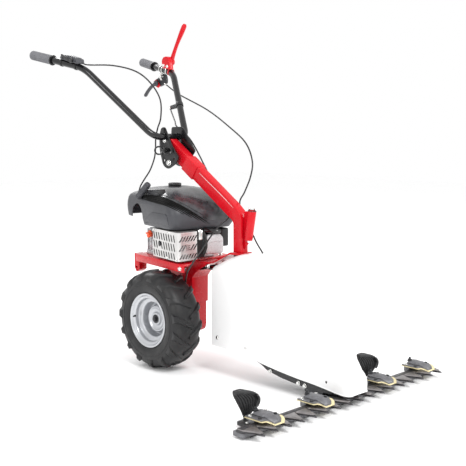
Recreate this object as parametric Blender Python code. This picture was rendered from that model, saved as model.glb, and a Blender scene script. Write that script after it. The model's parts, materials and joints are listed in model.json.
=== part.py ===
"""Walk-behind brush mower: one drive wheel, vertical-shaft engine and a front sickle bar.

Metres, +Z up, ground at Z = 0. The cutter bar is at the front, towards -Y. All shapes are
written in machine coordinates, with Y = 0 on the wheel axle and X = 0 on the middle of the
bar, the column and the handlebar. The empty "machine" then moves them back by AXLE_Y, so
that the origin is under the middle of the whole machine.
"""
import math

import bmesh
import bpy
from mathutils import Matrix, Vector

# Driving dimensions
AXLE_Y = 0.0880
AXLE_Z = 0.1650
WHEEL_X = -0.1380
TYRE_RADIUS = 0.1650
RIM_RADIUS = 0.0895
AXLE_RADIUS = 0.0125

TOOTH_COUNT = 17
TOOTH_PITCH = 0.0512
TOOTH_TIP_Y = -0.7440
TOOTH_ROOT_Y = -0.6950
KNIFE_STROKE = 0.0256
SOLE_X = 0.3800
PRESSER_X = (-0.3400, -0.1330, 0.1640, 0.3730)
SHIELD_X = (-0.3500, 0.1850)

LEG_HALF_WIDTH = 0.0365
SHEET = 0.0030
GAP = 0.0003
RUN = 0.0005

ENGINE_Y = 0.0390
ENGINE_TURN = math.radians(-12)
PLATE_TOP = 0.3605
BELT_Z = 0.3340
CUTTER_SHAFT_Y = -0.3000
CRANK_PULLEY = 0.0190
CUTTER_PULLEY = 0.0300
BELT_SLACK = 0.0007
ROCKER_PIVOT_Y = -0.4700
KNIFE_PIN_Y = -0.6600

COLUMN_WIDTH = 0.0300
COLUMN_FOOT = 0.0360
COLUMN_DEPTH = 0.0470
TUBE_RADIUS = 0.0115
HAND_END = (0.2492, 0.5560, 1.0530)
HAND_BEND = (0.2010, 0.3180, 1.0000)
TILT_Y = 0.1000
TILT_Z = 0.7650

OIL_CAP = (-0.0890, 0.0600, 0.0700)
FUEL_CAP = (-0.0060, 0.0420, 0.2353)
STARTER_AT = (-0.1240, 0.0520, 0.2230)
STARTER_PULL = (-0.825, 0.232, 0.516)
STARTER_BAR = (-0.241, 0.683, -0.690)

WORM_TEETH = 30
WORM_MODULE = 0.0020
WORM_RADIUS = 0.0090


# Scene and materials

def clear_scene():
    for old in list(bpy.data.objects):
        bpy.data.objects.remove(old, do_unlink=True)


def material(name, colour, roughness, metallic=0.0):
    new = bpy.data.materials.new(name)
    new.use_nodes = True
    shader = new.node_tree.nodes["Principled BSDF"]
    shader.inputs["Base Color"].default_value = (*colour, 1.0)
    shader.inputs["Roughness"].default_value = roughness
    shader.inputs["Metallic"].default_value = metallic
    return new


def empty(name, location, turn=0.0, parent=None):
    mark = bpy.data.objects.new(name, None)
    bpy.context.collection.objects.link(mark)
    mark.location = location
    mark.rotation_euler = (0.0, 0.0, turn)
    mark.parent = parent
    return mark


def place(name, mesh, finish, parent, origin=(0, 0, 0)):
    """Put a mesh, written in its parent's axes, in the scene with its origin at a given point."""
    mesh.transform(Matrix.Translation(-Vector(origin)))
    mesh.shade_smooth()
    mesh.set_sharp_from_angle(angle=math.radians(35))
    mesh.materials.append(finish)
    thing = bpy.data.objects.new(name, mesh)
    bpy.context.collection.objects.link(thing)
    thing.location = origin
    thing.parent = parent
    return thing


def build(name, verts, faces, finish, parent, origin=(0, 0, 0)):
    bm = bmesh.new()
    corners = [bm.verts.new(v) for v in verts]
    for face in faces:
        bm.faces.new([corners[i] for i in face])
    bmesh.ops.recalc_face_normals(bm, faces=bm.faces)
    mesh = bpy.data.meshes.new(name)
    bm.to_mesh(mesh)
    bm.free()
    return place(name, mesh, finish, parent, origin)


def ring_faces(first, second):
    count = len(first)
    return [(first[i], first[(i + 1) % count], second[(i + 1) % count], second[i])
            for i in range(count)]


# Shape makers: each one returns (verts, faces)

def loft(sections):
    """Skin between rings of equal length, with both ends capped."""
    count = len(sections[0])
    verts = [p for ring in sections for p in ring]
    rows = [list(range(i * count, (i + 1) * count)) for i in range(len(sections))]
    faces = [f for a, b in zip(rows, rows[1:]) for f in ring_faces(a, b)]
    faces += [tuple(rows[0]), tuple(rows[-1])]
    return verts, faces


def prism(outline, low, high, axis):
    """Flat outline in the plane across an axis, pulled out from low to high along it."""
    order = {"X": lambda a, b, h: (h, a, b), "Y": lambda a, b, h: (a, h, b),
             "Z": lambda a, b, h: (a, b, h)}[axis]
    return loft([[order(a, b, h) for a, b in outline] for h in (low, high)])


def block(low, high):
    outline = [(low[0], low[1]), (high[0], low[1]), (high[0], high[1]), (low[0], high[1])]
    return prism(outline, low[2], high[2], "Z")


def axis_frame(axis):
    """Rotation that takes local Z to the given direction."""
    return Vector(axis).normalized().to_track_quat("Z", "Y").to_matrix()


def turned(profile, at=(0, 0, 0), axis=(0, 0, 1), steps=24, closed=False):
    """Turn (radius, height) points round an axis. An open profile starts and ends on the axis."""
    frame, base = axis_frame(axis), Vector(at)
    verts, rows = [], []
    for radius, height in profile:
        row = []
        for i in range(1 if radius == 0 else steps):
            angle = 2 * math.pi * i / steps
            local = Vector((radius * math.cos(angle), radius * math.sin(angle), height))
            row.append(len(verts))
            verts.append(tuple(base + frame @ local))
        rows.append(row)
    pairs = list(zip(rows, rows[1:])) + ([(rows[-1], rows[0])] if closed else [])
    faces = []
    for a, b in pairs:
        if len(a) == 1:
            faces += [(a[0], b[i], b[(i + 1) % steps]) for i in range(steps)]
        elif len(b) == 1:
            faces += [(b[0], a[(i + 1) % steps], a[i]) for i in range(steps)]
        else:
            faces += ring_faces(a, b)
    return verts, faces


def rod(radius, low, high):
    return [(0, low), (radius, low), (radius, high), (0, high)]


def ring(inner, outer, low, high):
    return [(inner, low), (outer, low), (outer, high), (inner, high)]


def rounded(corners, radius, steps=4):
    """Polyline or outline (closed list) whose corners become short curves."""
    out = []
    for i, here in enumerate(corners):
        p = Vector(here)
        before, after = Vector(corners[i - 1]), Vector(corners[(i + 1) % len(corners)])
        cut = min(radius, (before - p).length * 0.48, (after - p).length * 0.48)
        a, b = p + (before - p).normalized() * cut, p + (after - p).normalized() * cut
        for k in range(steps + 1):
            t = k / steps
            out.append(tuple(a * (1 - t) ** 2 + p * 2 * t * (1 - t) + b * t * t))
    return out


def bent(corners, radius, steps=5):
    """Open path through its corners, each inner one rounded to a bend."""
    path = [corners[0]]
    for i in range(1, len(corners) - 1):
        p, before, after = (Vector(corners[k]) for k in (i, i - 1, i + 1))
        cut = min(radius, (before - p).length * 0.48, (after - p).length * 0.48)
        a, b = p + (before - p).normalized() * cut, p + (after - p).normalized() * cut
        path += [tuple(a * (1 - t) ** 2 + p * 2 * t * (1 - t) + b * t * t)
                 for t in (k / steps for k in range(steps + 1))]
    return path + [corners[-1]]


def swept(path, radii, sides=10):
    """Round bar along a path, with one radius or one for each point."""
    points = [Vector(p) for p in path]
    if not hasattr(radii, "__len__"):
        radii = [radii] * len(points)
    tangents = [(points[min(i + 1, len(points) - 1)] - points[max(i - 1, 0)]).normalized()
                for i in range(len(points))]
    side = tangents[0].orthogonal().normalized()
    sections = []
    for p, tangent, radius in zip(points, tangents, radii):
        side = (side - tangent * side.dot(tangent)).normalized()
        other = tangent.cross(side)
        sections.append([tuple(p + side * radius * math.cos(a) + other * radius * math.sin(a))
                         for a in (2 * math.pi * k / sides for k in range(sides))])
    return loft(sections)


def smooth(points, per_span=4):
    """Catmull-Rom curve through hand-placed points."""
    p = [Vector(q) for q in points]
    p = [p[0] * 2 - p[1]] + p + [p[-1] * 2 - p[-2]]
    out = []
    for i in range(1, len(p) - 2):
        for k in range(per_span):
            t = k / per_span
            out.append(0.5 * (2 * p[i] + (p[i + 1] - p[i - 1]) * t
                       + (2 * p[i - 1] - 5 * p[i] + 4 * p[i + 1] - p[i + 2]) * t ** 2
                       + (3 * p[i] - p[i - 1] - 3 * p[i + 1] + p[i + 2]) * t ** 3))
    return [tuple(q) for q in out] + [tuple(p[-2])]


def mirrored(points):
    return [(-x, y, z) for x, y, z in points]


def combine(target, shape, operation, parent, origin=(0, 0, 0)):
    """Cut a shape from a part, or join it on, with a Boolean modifier."""
    name = target.name + "." + operation.lower() + str(len(target.modifiers))
    tool = build(name, *shape, target.data.materials[0], parent, origin)
    tool.hide_render = True
    tool.display_type = "WIRE"
    step = target.modifiers.new(operation.title(), "BOOLEAN")
    step.operation = operation
    step.object = tool
    return target


def cut(target, shape, parent, origin=(0, 0, 0)):
    return combine(target, shape, "DIFFERENCE", parent, origin)


def join(target, shape, parent, origin=(0, 0, 0)):
    return combine(target, shape, "UNION", parent, origin)


def cable(name, points, radius, finish, parent):
    curve = bpy.data.curves.new(name, "CURVE")
    curve.dimensions = "3D"
    curve.bevel_depth = radius
    curve.bevel_resolution = 2
    curve.use_fill_caps = True
    route = smooth(points, 3)
    spline = curve.splines.new("POLY")
    spline.points.add(len(route) - 1)
    for knot, p in zip(spline.points, route):
        knot.co = (*p, 1.0)
    curve.materials.append(finish)
    thing = bpy.data.objects.new(name, curve)
    bpy.context.collection.objects.link(thing)
    thing.parent = parent
    return thing


# Wheel and its axle

def make_wheel(m, paint):
    hub = (WHEEL_X, 0.0, AXLE_Z)
    along = (1, 0, 0)
    outer = [(0.0815, 0.0465), (0.0870, 0.0470), (0.0905, 0.0500), (0.1050, 0.0570),
             (0.1240, 0.0590), (0.1400, 0.0570), (0.1530, 0.0500), (0.1615, 0.0340),
             (TYRE_RADIUS, 0.0120)]
    inner = [(0.1540, 0.0260), (0.1480, 0.0420), (0.1380, 0.0500), (0.1240, 0.0530),
             (0.1060, 0.0510), (0.0940, 0.0430), (0.0805, 0.0380)]
    outline = [(r, -h) for r, h in outer] + [(r, h) for r, h in reversed(outer)]
    outline += [(r, h) for r, h in reversed(inner)] + [(r, -h) for r, h in inner]
    build("tyre", *turned(outline, hub, along, 40, True), paint["rubber"], m, hub)

    rim = [(0.0895, -0.0530), (0.0895, -0.0505), (0.0800, -0.0480), (0.0790, -0.0300),
           (0.0670, -0.0220), (0.0670, 0.0200), (0.0790, 0.0300), (0.0800, 0.0480),
           (0.0895, 0.0505), (0.0895, 0.0530), (0.0765, 0.0495), (0.0755, 0.0320),
           (0.0640, 0.0230), (0.0640, -0.0100), (0.0400, -0.0060), (0.0260, 0.0050),
           (0.0240, 0.0400), (AXLE_RADIUS + GAP, 0.0400), (AXLE_RADIUS + GAP, -0.0150),
           (0.0260, -0.0150), (0.0280, -0.0105), (0.0400, -0.0105), (0.0440, -0.0145),
           (0.0500, -0.0145), (0.0540, -0.0120), (0.0640, -0.0210), (0.0755, -0.0320),
           (0.0765, -0.0495)]
    build("wheel_rim", *turned(rim, hub, along, 32, True), paint["silver"], m, hub)

    axle = [(0, -0.0140), (AXLE_RADIUS, -0.0140), (AXLE_RADIUS, 0.0405), (0.0160, 0.0405),
            (0.0160, 0.0930), (AXLE_RADIUS, 0.0930), (AXLE_RADIUS, 0.1660), (0, 0.1660)]
    shaft = build("wheel_axle", *turned(axle, hub, along, 20), paint["steel"], m, hub)
    cut(shaft, turned(rod(0.0053, -0.0200, 0.0120), hub, along, 12), m)

    bolt = [(0, -0.0235), (0.0085, -0.0235), (0.0095, -0.0225), (0.0095, -0.0175),
            (0.0170, -0.0175), (0.0170, -0.0153), (0.0050, -0.0153), (0.0050, 0.0100),
            (0, 0.0100)]
    build("hub_bolt", *turned(bolt, hub, along, 12), paint["dark"], m, hub)


# Gearbox in the leg

def gear(teeth, tip, root, width, bore, twist):
    """Spur gear along X with slightly twisted teeth and a bore."""
    rows = []
    for side in (-0.5, 0.5):
        row = []
        for k in range(teeth):
            for share, radius in ((-0.30, root), (-0.13, tip), (0.13, tip), (0.30, root)):
                a = 2 * math.pi * (k + share) / teeth + side * twist
                row.append((side * width, radius * math.cos(a), radius * math.sin(a)))
        rows.append(row)
    for side in (0.5, -0.5):
        rows.append([(side * width, bore * p[1] / math.hypot(p[1], p[2]),
                      bore * p[2] / math.hypot(p[1], p[2])) for p in rows[0]])
    count = len(rows[0])
    verts = [p for row in rows for p in row]
    index = [list(range(i * count, (i + 1) * count)) for i in range(4)]
    faces = [f for i in range(4) for f in ring_faces(index[i], index[(i + 1) % 4])]
    return verts, faces


def make_gearbox(m, paint):
    centre = (0.0, 0.0, AXLE_Z)
    verts, faces = gear(WORM_TEETH, 0.0306, 0.0278, 0.0080, AXLE_RADIUS + GAP, 0.0296)
    verts = [(x, y, z + AXLE_Z) for x, y, z in verts]
    build("worm_wheel", verts, faces, paint["brass"], m, centre)

    worm_y = WORM_MODULE * WORM_TEETH / 2 + WORM_RADIUS
    at = (0.0, worm_y, 0.0)
    shaft = [(0, 0.1250), (0.0060, 0.1250), (0.0081, 0.1400), (0.0081, 0.1900),
             (0.0060, 0.2000), (0.0060, 0.3010), (0.0220, 0.3010), (0.0220, 0.3100),
             (0, 0.3100)]
    worm = build("worm_shaft", *turned(shaft, at, (0, 0, 1), 16), paint["steel"], m, at)
    pitch = math.pi * WORM_MODULE
    turns, per_turn = 3.5, 12
    count = int(turns * per_turn)
    start = AXLE_Z - pitch * (turns + 1) / 2
    helix = [(WORM_RADIUS * math.cos(a), worm_y + WORM_RADIUS * math.sin(a),
              start + pitch * a / (2 * math.pi))
             for a in (2 * math.pi * k / per_turn for k in range(count + 1))]
    join(worm, swept(helix, 0.0014, 6), m, at)

    half = LEG_HALF_WIDTH - SHEET - RUN
    outline = rounded([(0.0590, 0.2980), (0.0590, 0.1010), (-0.0450, 0.1010), (-0.0450, 0.2980)],
                      0.0300, 4)
    leg = build("leg_housing", *prism(outline, -half, half - SHEET, "X"), paint["red"], m)
    inside = rounded([(0.0560, 0.2950), (0.0560, 0.1040), (-0.0420, 0.1040), (-0.0420, 0.2950)],
                     0.0280, 4)
    cut(leg, prism(inside, SHEET - half, half, "X"), m)
    cut(leg, turned(rod(AXLE_RADIUS + RUN, -0.0600, 0.0), centre, (1, 0, 0), 20), m)
    cut(leg, turned(rod(0.0065, 0.2800, 0.3050), at, (0, 0, 1), 16), m)
    build("leg_cover", *prism(outline, half - SHEET + GAP, half, "X"), paint["red"], m)

    for name, low in (("axle_bearing_near", SHEET - half + GAP), ("axle_bearing_far", 0.0200)):
        shape = turned(ring(AXLE_RADIUS + GAP, 0.0210, low, low + 0.0085), centre, (1, 0, 0), 20,
                       True)
        build(name, *shape, paint["steel"], m)


# Frame, engine plate and column

def make_frame(m, paint):
    half = LEG_HALF_WIDTH
    outline = [(0.0765, 0.3560), (0.0765, 0.2950), (0.0625, 0.2750), (0.0625, 0.2070),
               (-0.0490, 0.2070), (-0.0500, 0.2950),
               (-0.0640, 0.3130), (-0.0900, 0.3310), (-0.1250, 0.3480), (-0.1450, 0.3560)]
    frame = build("main_frame", *prism(outline, -half, half, "X"), paint["red"], m)
    inside = [(0.0735, 0.3600), (0.0735, 0.2960), (0.0595, 0.2760), (0.0595, 0.2000),
              (-0.0460, 0.2000), (-0.0470, 0.2960),
              (-0.0615, 0.3155), (-0.0880, 0.3340), (-0.1180, 0.3500), (-0.0690, 0.3500),
              (-0.0690, 0.3600)]
    cut(frame, prism(inside, SHEET - half, half - SHEET, "X"), m)
    cut(frame, block((-0.0325, -0.1200, BELT_Z - 0.0095), (0.0325, -0.0400, BELT_Z + 0.0095)), m)
    strap = [(-0.1250, 0.3540), (-0.1420, 0.3580), (-0.1750, 0.3735), (-0.2050, 0.3880),
             (-0.2240, 0.3985), (-0.2660, 0.3985), (-0.2660, 0.3930), (-0.2240, 0.3925),
             (-0.1950, 0.3790), (-0.1600, 0.3610), (-0.1420, 0.3540), (-0.1250, 0.3520)]
    join(frame, prism(strap, -0.0300, 0.0300, "X"), m)

    corners = [(-0.1000, 0.1780), (-0.1550, -0.1450), (-0.1380, -0.1450), (-0.0400, -0.0740),
               (0.1250, -0.0740), (0.1250, 0.1780)]
    plate = build("engine_plate", *prism(rounded(corners, 0.010, 2), 0.3360, PLATE_TOP, "Z"),
                  paint["red"], m)
    lower = [(-0.0970, 0.1750), (-0.1520, -0.1420), (-0.1470, -0.1700), (0.1220, -0.1700),
             (0.1220, 0.1750)]
    cut(plate, prism(lower, 0.3300, PLATE_TOP - 0.0040, "Z"), m)
    cut(plate, turned(rod(0.0260, 0.3400, 0.3700), (0, ENGINE_Y, 0), (0, 0, 1), 24), m)

    tail = [(0.1740, 0.3600), (0.1930, 0.3600), (0.1930, 0.3100), (0.1830, 0.2950),
            (0.1660, 0.3050), (0.1660, 0.3380), (0.1740, 0.3380)]
    join(plate, prism(tail, -0.0900, -0.0580, "X"), m)


def column_line(t):
    """Point on the middle line of the column's sloping upper part."""
    low, high = Vector((0, -0.2170, 0.5310)), Vector((0, 0.0700, 0.7220))
    return low + (high - low) * t


def make_column(m, paint):
    half_w = COLUMN_WIDTH / 2
    slope = (column_line(1) - column_line(0)).normalized()
    up = Vector((0, -slope.z, slope.y))
    foot_y, straight_top, bend_radius = -0.2440, 0.4900, 0.0430
    stations = [(Vector((0, foot_y, 0.3990)), Vector((0, -1, 0)), COLUMN_FOOT / 2)]
    for share in (0.0, 0.25, 0.5, 0.75):
        a = math.atan2(slope.y, slope.z) * share
        bend = Vector((0, foot_y + bend_radius * (1 - math.cos(a)),
                       straight_top + bend_radius * math.sin(a)))
        half_d = (COLUMN_FOOT + (COLUMN_DEPTH - COLUMN_FOOT) * share) / 2
        stations.append((bend, Vector((0, -math.cos(a), math.sin(a))), half_d))
    stations += [(column_line(0.02), up, COLUMN_DEPTH / 2), (column_line(1.0), up, COLUMN_DEPTH / 2)]
    sections = []
    for centre, across, half_d in stations:
        sections.append([tuple(centre + Vector((sx * half_w, 0, 0)) + across * sd * half_d)
                         for sx, sd in ((-1, -1), (1, -1), (1, 1), (-1, 1))])
    column = build("column", *loft(sections), paint["red"], m)
    collar = [[tuple(column_line(t) + Vector((sx * 0.0200, 0, 0)) + up * sd * 0.0255)
               for sx, sd in ((-1, -1), (1, -1), (1, 1), (-1, 1))] for t in (0.60, 0.78)]
    join(column, loft(collar), m)

    foot, lean = (0, -0.2790, 0.4420), (0, -0.18, 1.0)
    web = [(-0.2623, 0.5330), (-0.2860, 0.5330), (-0.2790, 0.4300), (-0.2623, 0.4100)]
    socket = build("socket_tube", *turned(rod(0.0140, 0.0, 0.0950), foot, lean, 16), paint["red"], m)
    join(socket, prism(web, -0.0030, 0.0030, "X"), m)
    cut(socket, turned(rod(0.0095, -0.0100, 0.1200), foot, lean, 12), m)


# Engine, in its own turned axes with Z = 0 on the engine plate

def rounded_box(x, y, half_x, half_y, z, corner, steps=3):
    corners = [(x - half_x, y - half_y), (x + half_x, y - half_y), (x + half_x, y + half_y),
               (x - half_x, y + half_y)]
    return [(a, b, z) for a, b in rounded(corners, corner, steps)]


def make_engine(e, paint):
    case = build("crankcase", *prism(rounded([(-0.0850, -0.0900), (0.0850, -0.0900),
                                              (0.0850, 0.1100), (-0.0850, 0.1100)], 0.030, 3),
                                     GAP, 0.0900, "Z"), paint["aluminium"], e)
    cut(case, turned(rod(0.0160, -0.0100, 0.1000), (0, 0, 0), (0, 0, 1), 20), e)
    join(case, block((0.0050, -0.1500, 0.0150), (0.0750, -0.0800, 0.0850)), e)
    build("air_intake", *prism([(-0.0280, -0.1450), (0.0040, -0.1450), (0.0040, -0.0905),
                                (-0.0280, -0.0905)], 0.0100, 0.0980, "Z"), paint["plastic"], e)

    box = [(-0.1180, -0.1580), (-0.0300, -0.1580), (-0.0300, -0.0910), (-0.0860, -0.0910),
           (-0.0860, -0.0100), (-0.1180, -0.0100)]
    guard = build("muffler_guard", *prism(box, 0.0080, 0.1010, "Z"), paint["zinc"], e)
    hollow = [(-0.1168, -0.1568), (-0.0300, -0.1568), (-0.0300, -0.0910), (-0.0860, -0.0910),
              (-0.0860, -0.0112), (-0.1168, -0.0112)]
    hollow = [(x if x < -0.1 else x + 0.0100, y) for x, y in hollow]
    cut(guard, prism(hollow, 0.0092, 0.0998, "Z"), e)
    build("muffler", *prism(rounded([(-0.1120, -0.1500), (-0.0900, -0.1500), (-0.0900, -0.0200),
                                     (-0.1120, -0.0200)], 0.008, 2), 0.0150, 0.0940, "Z"),
          paint["steel"], e)

    shape = ((0.1050, 0.116, -0.140, 0.170), (0.1300, 0.124, -0.158, 0.192),
             (0.1650, 0.126, -0.158, 0.198), (0.1950, 0.119, -0.128, 0.192),
             (0.2150, 0.104, -0.080, 0.168), (0.2290, 0.078, -0.035, 0.120),
             (0.2350, 0.050, -0.005, 0.085))
    outer = [rounded_box(0, (front + rear) / 2, w, (rear - front) / 2, z, 0.040, 4)
             for z, w, front, rear in shape]
    shroud = build("shroud", *loft(outer), paint["plastic"], e)
    inner = [rounded_box(0, (front + rear) / 2, w - SHEET, (rear - front) / 2 - SHEET,
                         z - (SHEET if z > 0.11 else 0.01), 0.038, 4)
             for z, w, front, rear in shape]
    cut(shroud, loft(inner), e)
    build("fuel_cap", *turned([(0, 0.0), (0.0170, 0.0), (0.0230, 0.0020), (0.0230, 0.0095),
                               (0.0210, 0.0120), (0, 0.0120)], FUEL_CAP, (0, 0, 1), 20),
          paint["plastic"], e, FUEL_CAP)
    build("oil_cap", *turned([(0, 0.0), (0.0080, 0.0), (0.0080, 0.0060), (0.0150, 0.0060),
                              (0.0150, 0.0180), (0, 0.0180)], OIL_CAP,
                             (-1, 0, 0.35), 14), paint["orange"], e, OIL_CAP)

    rim = CRANK_PULLEY + 0.0060
    crank = [(0, -0.0470), (0.0220, -0.0470), (0.0220, -0.0365), (0.0120, -0.0365),
             (0.0120, -0.0360), (rim, -0.0355), (rim, -0.0330), (CRANK_PULLEY, -0.0290),
             (CRANK_PULLEY, -0.0230), (rim, -0.0195), (rim, -0.0180), (0.0150, -0.0175),
             (0.0150, 0.0930), (0.0850, 0.0960), (0.0850, 0.1080), (0.0700, 0.1280),
             (0.0150, 0.1300), (0.0100, 0.1600), (0, 0.1600)]
    build("crankshaft", *turned(crank, (0, 0, 0), (0, 0, 1), 24), paint["steel"], e)

    middle, pull, along = Vector(STARTER_AT), Vector(STARTER_PULL), Vector(STARTER_BAR)
    join(shroud, turned(rod(0.0110, -0.0450, -0.0160), middle, pull, 12), e)
    grip = [tuple(middle + along * share) for share in (-0.0340, -0.0120, 0.0120, 0.0340)]
    build("starter_handle", *swept(grip, [0.0080, 0.0088, 0.0088, 0.0080], 8), paint["plastic"], e,
          STARTER_AT)
    rope = [tuple(middle + pull * share) for share in (-0.0155, -0.0092)]
    build("starter_rope", *swept(rope, 0.0022, 6), paint["plastic"], e, STARTER_AT)


# Belt drive, shaft and rocker that move the knife

def stadium(first, first_radius, second, second_radius, steps=12):
    """Outline of a belt round two pulleys that lie along Y."""
    lean = math.asin((first_radius - second_radius) / (first - second))
    points = []
    for centre, radius, low, high in ((first, first_radius, -lean, math.pi + lean),
                                      (second, second_radius, math.pi + lean, 2 * math.pi - lean)):
        points += [(radius * math.cos(a), centre + radius * math.sin(a))
                   for a in (low + (high - low) * k / steps for k in range(steps + 1))]
    return points


def make_drive(m, paint):
    crank, driven, belt = CRANK_PULLEY + BELT_SLACK, CUTTER_PULLEY + BELT_SLACK, 0.0060
    inner = stadium(ENGINE_Y, crank, CUTTER_SHAFT_Y, driven)
    outer = stadium(ENGINE_Y, crank + belt, CUTTER_SHAFT_Y, driven + belt)
    low, high = BELT_Z - 0.0022 + 0.0006, BELT_Z + 0.0022 + 0.0006
    count = len(inner)
    rows = [[(x, y, z) for x, y in loop]
            for loop, z in ((outer, low), (outer, high), (inner, high), (inner, low))]
    index = [list(range(i * count, (i + 1) * count)) for i in range(4)]
    faces = [f for i in range(4) for f in ring_faces(index[i], index[(i + 1) % 4])]
    build("cutter_belt", [p for row in rows for p in row], faces, paint["rubber"], m)

    at = (0, CUTTER_SHAFT_Y, 0)
    groove = BELT_Z + 0.0006
    rim = CUTTER_PULLEY + 0.0060
    pulley = [(0.0093, groove - 0.0080), (rim, groove - 0.0075), (rim, groove - 0.0060),
              (CUTTER_PULLEY, groove - 0.0026), (CUTTER_PULLEY, groove + 0.0026),
              (rim, groove + 0.0060), (rim, groove + 0.0075), (0.0093, groove + 0.0080)]
    build("cutter_pulley", *turned(pulley, at, (0, 0, 1), 24, True), paint["steel"], m, at)
    shaft = [(0, 0.0920), (0.0280, 0.0920), (0.0280, 0.1000), (0.0090, 0.1000), (0.0090, 0.3560),
             (0, 0.3560)]
    cutter = build("cutter_shaft", *turned(shaft, at, (0, 0, 1), 20), paint["steel"], m, at)
    pin = (0, CUTTER_SHAFT_Y - 0.0200, 0)
    join(cutter, turned(rod(0.0060, 0.0845, 0.0950), pin, (0, 0, 1), 12), m, at)

    tower = build("shaft_housing", *turned(ring(0.0093, 0.0210, 0.1040, 0.3220), at, (0, 0, 1), 20,
                                           True), paint["dark"], m)
    lid = [(-0.0450, -0.3400), (0.0450, -0.3400), (0.0450, -0.2600), (-0.0450, -0.2600)]
    join(tower, prism(lid, 0.1100, 0.1180, "Z"), m)
    join(tower, block((-0.0150, -0.2830, 0.2900), (0.0150, -0.2650, 0.3200)), m)
    cut(tower, turned(rod(0.0095, 0.0900, 0.3400), at, (0, 0, 1), 20), m)

    fork = [(-0.0130, -0.4700), (-0.0190, -0.4000), (-0.0160, -0.3450), (-0.0160, -0.2800),
            (-0.0070, -0.2800), (-0.0070, -0.3400), (0.0070, -0.3400), (0.0070, -0.2800),
            (0.0160, -0.2800), (0.0160, -0.3450), (0.0190, -0.4000), (0.0130, -0.4700),
            (0.0110, -0.6450), (0.0070, -0.6720), (-0.0070, -0.6720), (-0.0110, -0.6450)]
    pivot = (0, ROCKER_PIVOT_Y, 0)
    rocker = build("rocker_lever", *prism(fork, 0.0740, 0.0840, "Z"), paint["steel"], m, pivot)
    cut(rocker, turned(rod(0.0085, 0.0600, 0.1000), pivot, (0, 0, 1), 16), m, pivot)
    end = (0, KNIFE_PIN_Y, 0)
    join(rocker, turned(rod(0.0050, 0.0360, 0.0780), end, (0, 0, 1), 12), m, pivot)


# Arm, bar and knife

def make_arm(m, paint):
    strip = [(-0.2600, 0.3600), (-0.3300, 0.3600), (-0.3300, 0.1100), (-0.3700, 0.0760),
             (-0.4600, 0.0600), (-0.5500, 0.0510), (-0.6300, 0.0500), (-0.6300, 0.0180),
             (-0.5400, 0.0260), (-0.4500, 0.0360), (-0.3800, 0.0460), (-0.2900, 0.0700),
             (-0.2600, 0.1050)]
    for name, low in (("arm_plate_near", -0.0500), ("arm_plate_far", 0.0455)):
        build(name, *prism(strip, low, low + 0.0045, "X"), paint["dark"], m)
    head = build("arm_head", *block((-0.0450, -0.3300, 0.3590), (0.0450, -0.2600, 0.3660)),
                 paint["dark"], m)
    join(head, block((-0.0240, -0.2620, 0.3640), (0.0240, -0.2360, 0.3920)), m)

    carrier = build("bar_carrier", *block((-0.0450, -0.6300, 0.0183), (0.0450, -0.5600, 0.0400)),
                    paint["dark"], m)
    join(carrier, block((-0.0450, -0.5000, 0.0560), (0.0450, -0.4400, 0.0680)), m)
    join(carrier, prism([(-0.4500, 0.0600), (-0.5000, 0.0600), (-0.5700, 0.0250),
                         (-0.5700, 0.0400), (-0.5000, 0.0670), (-0.4500, 0.0670)], -0.0200,
                        0.0200, "X"), m)
    join(carrier, turned(rod(0.0080, 0.0600, 0.0900), (0, ROCKER_PIVOT_Y, 0), (0, 0, 1), 16), m)


def bar_x(index):
    return (index - (TOOTH_COUNT - 1) / 2) * TOOTH_PITCH


def toothed(back_y, root_y, tip_y, root_half, tip_half, pitch_half, low, high, tip_drop=0.0):
    """Comb of pointed teeth on a straight back, as one plate."""
    outline = [(bar_x(0) - pitch_half, back_y, 0.0)]
    for i in range(TOOTH_COUNT):
        x = bar_x(i)
        outline += [(x - root_half, root_y, 0.0), (x - tip_half, tip_y, tip_drop),
                    (x + tip_half, tip_y, tip_drop), (x + root_half, root_y, 0.0)]
    outline.append((bar_x(TOOTH_COUNT - 1) + pitch_half, back_y, 0.0))
    bottom = [(x, y, low) for x, y, _ in outline]
    top = [(x, y, high - drop) for x, y, drop in outline]
    return loft([bottom, top])


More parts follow.
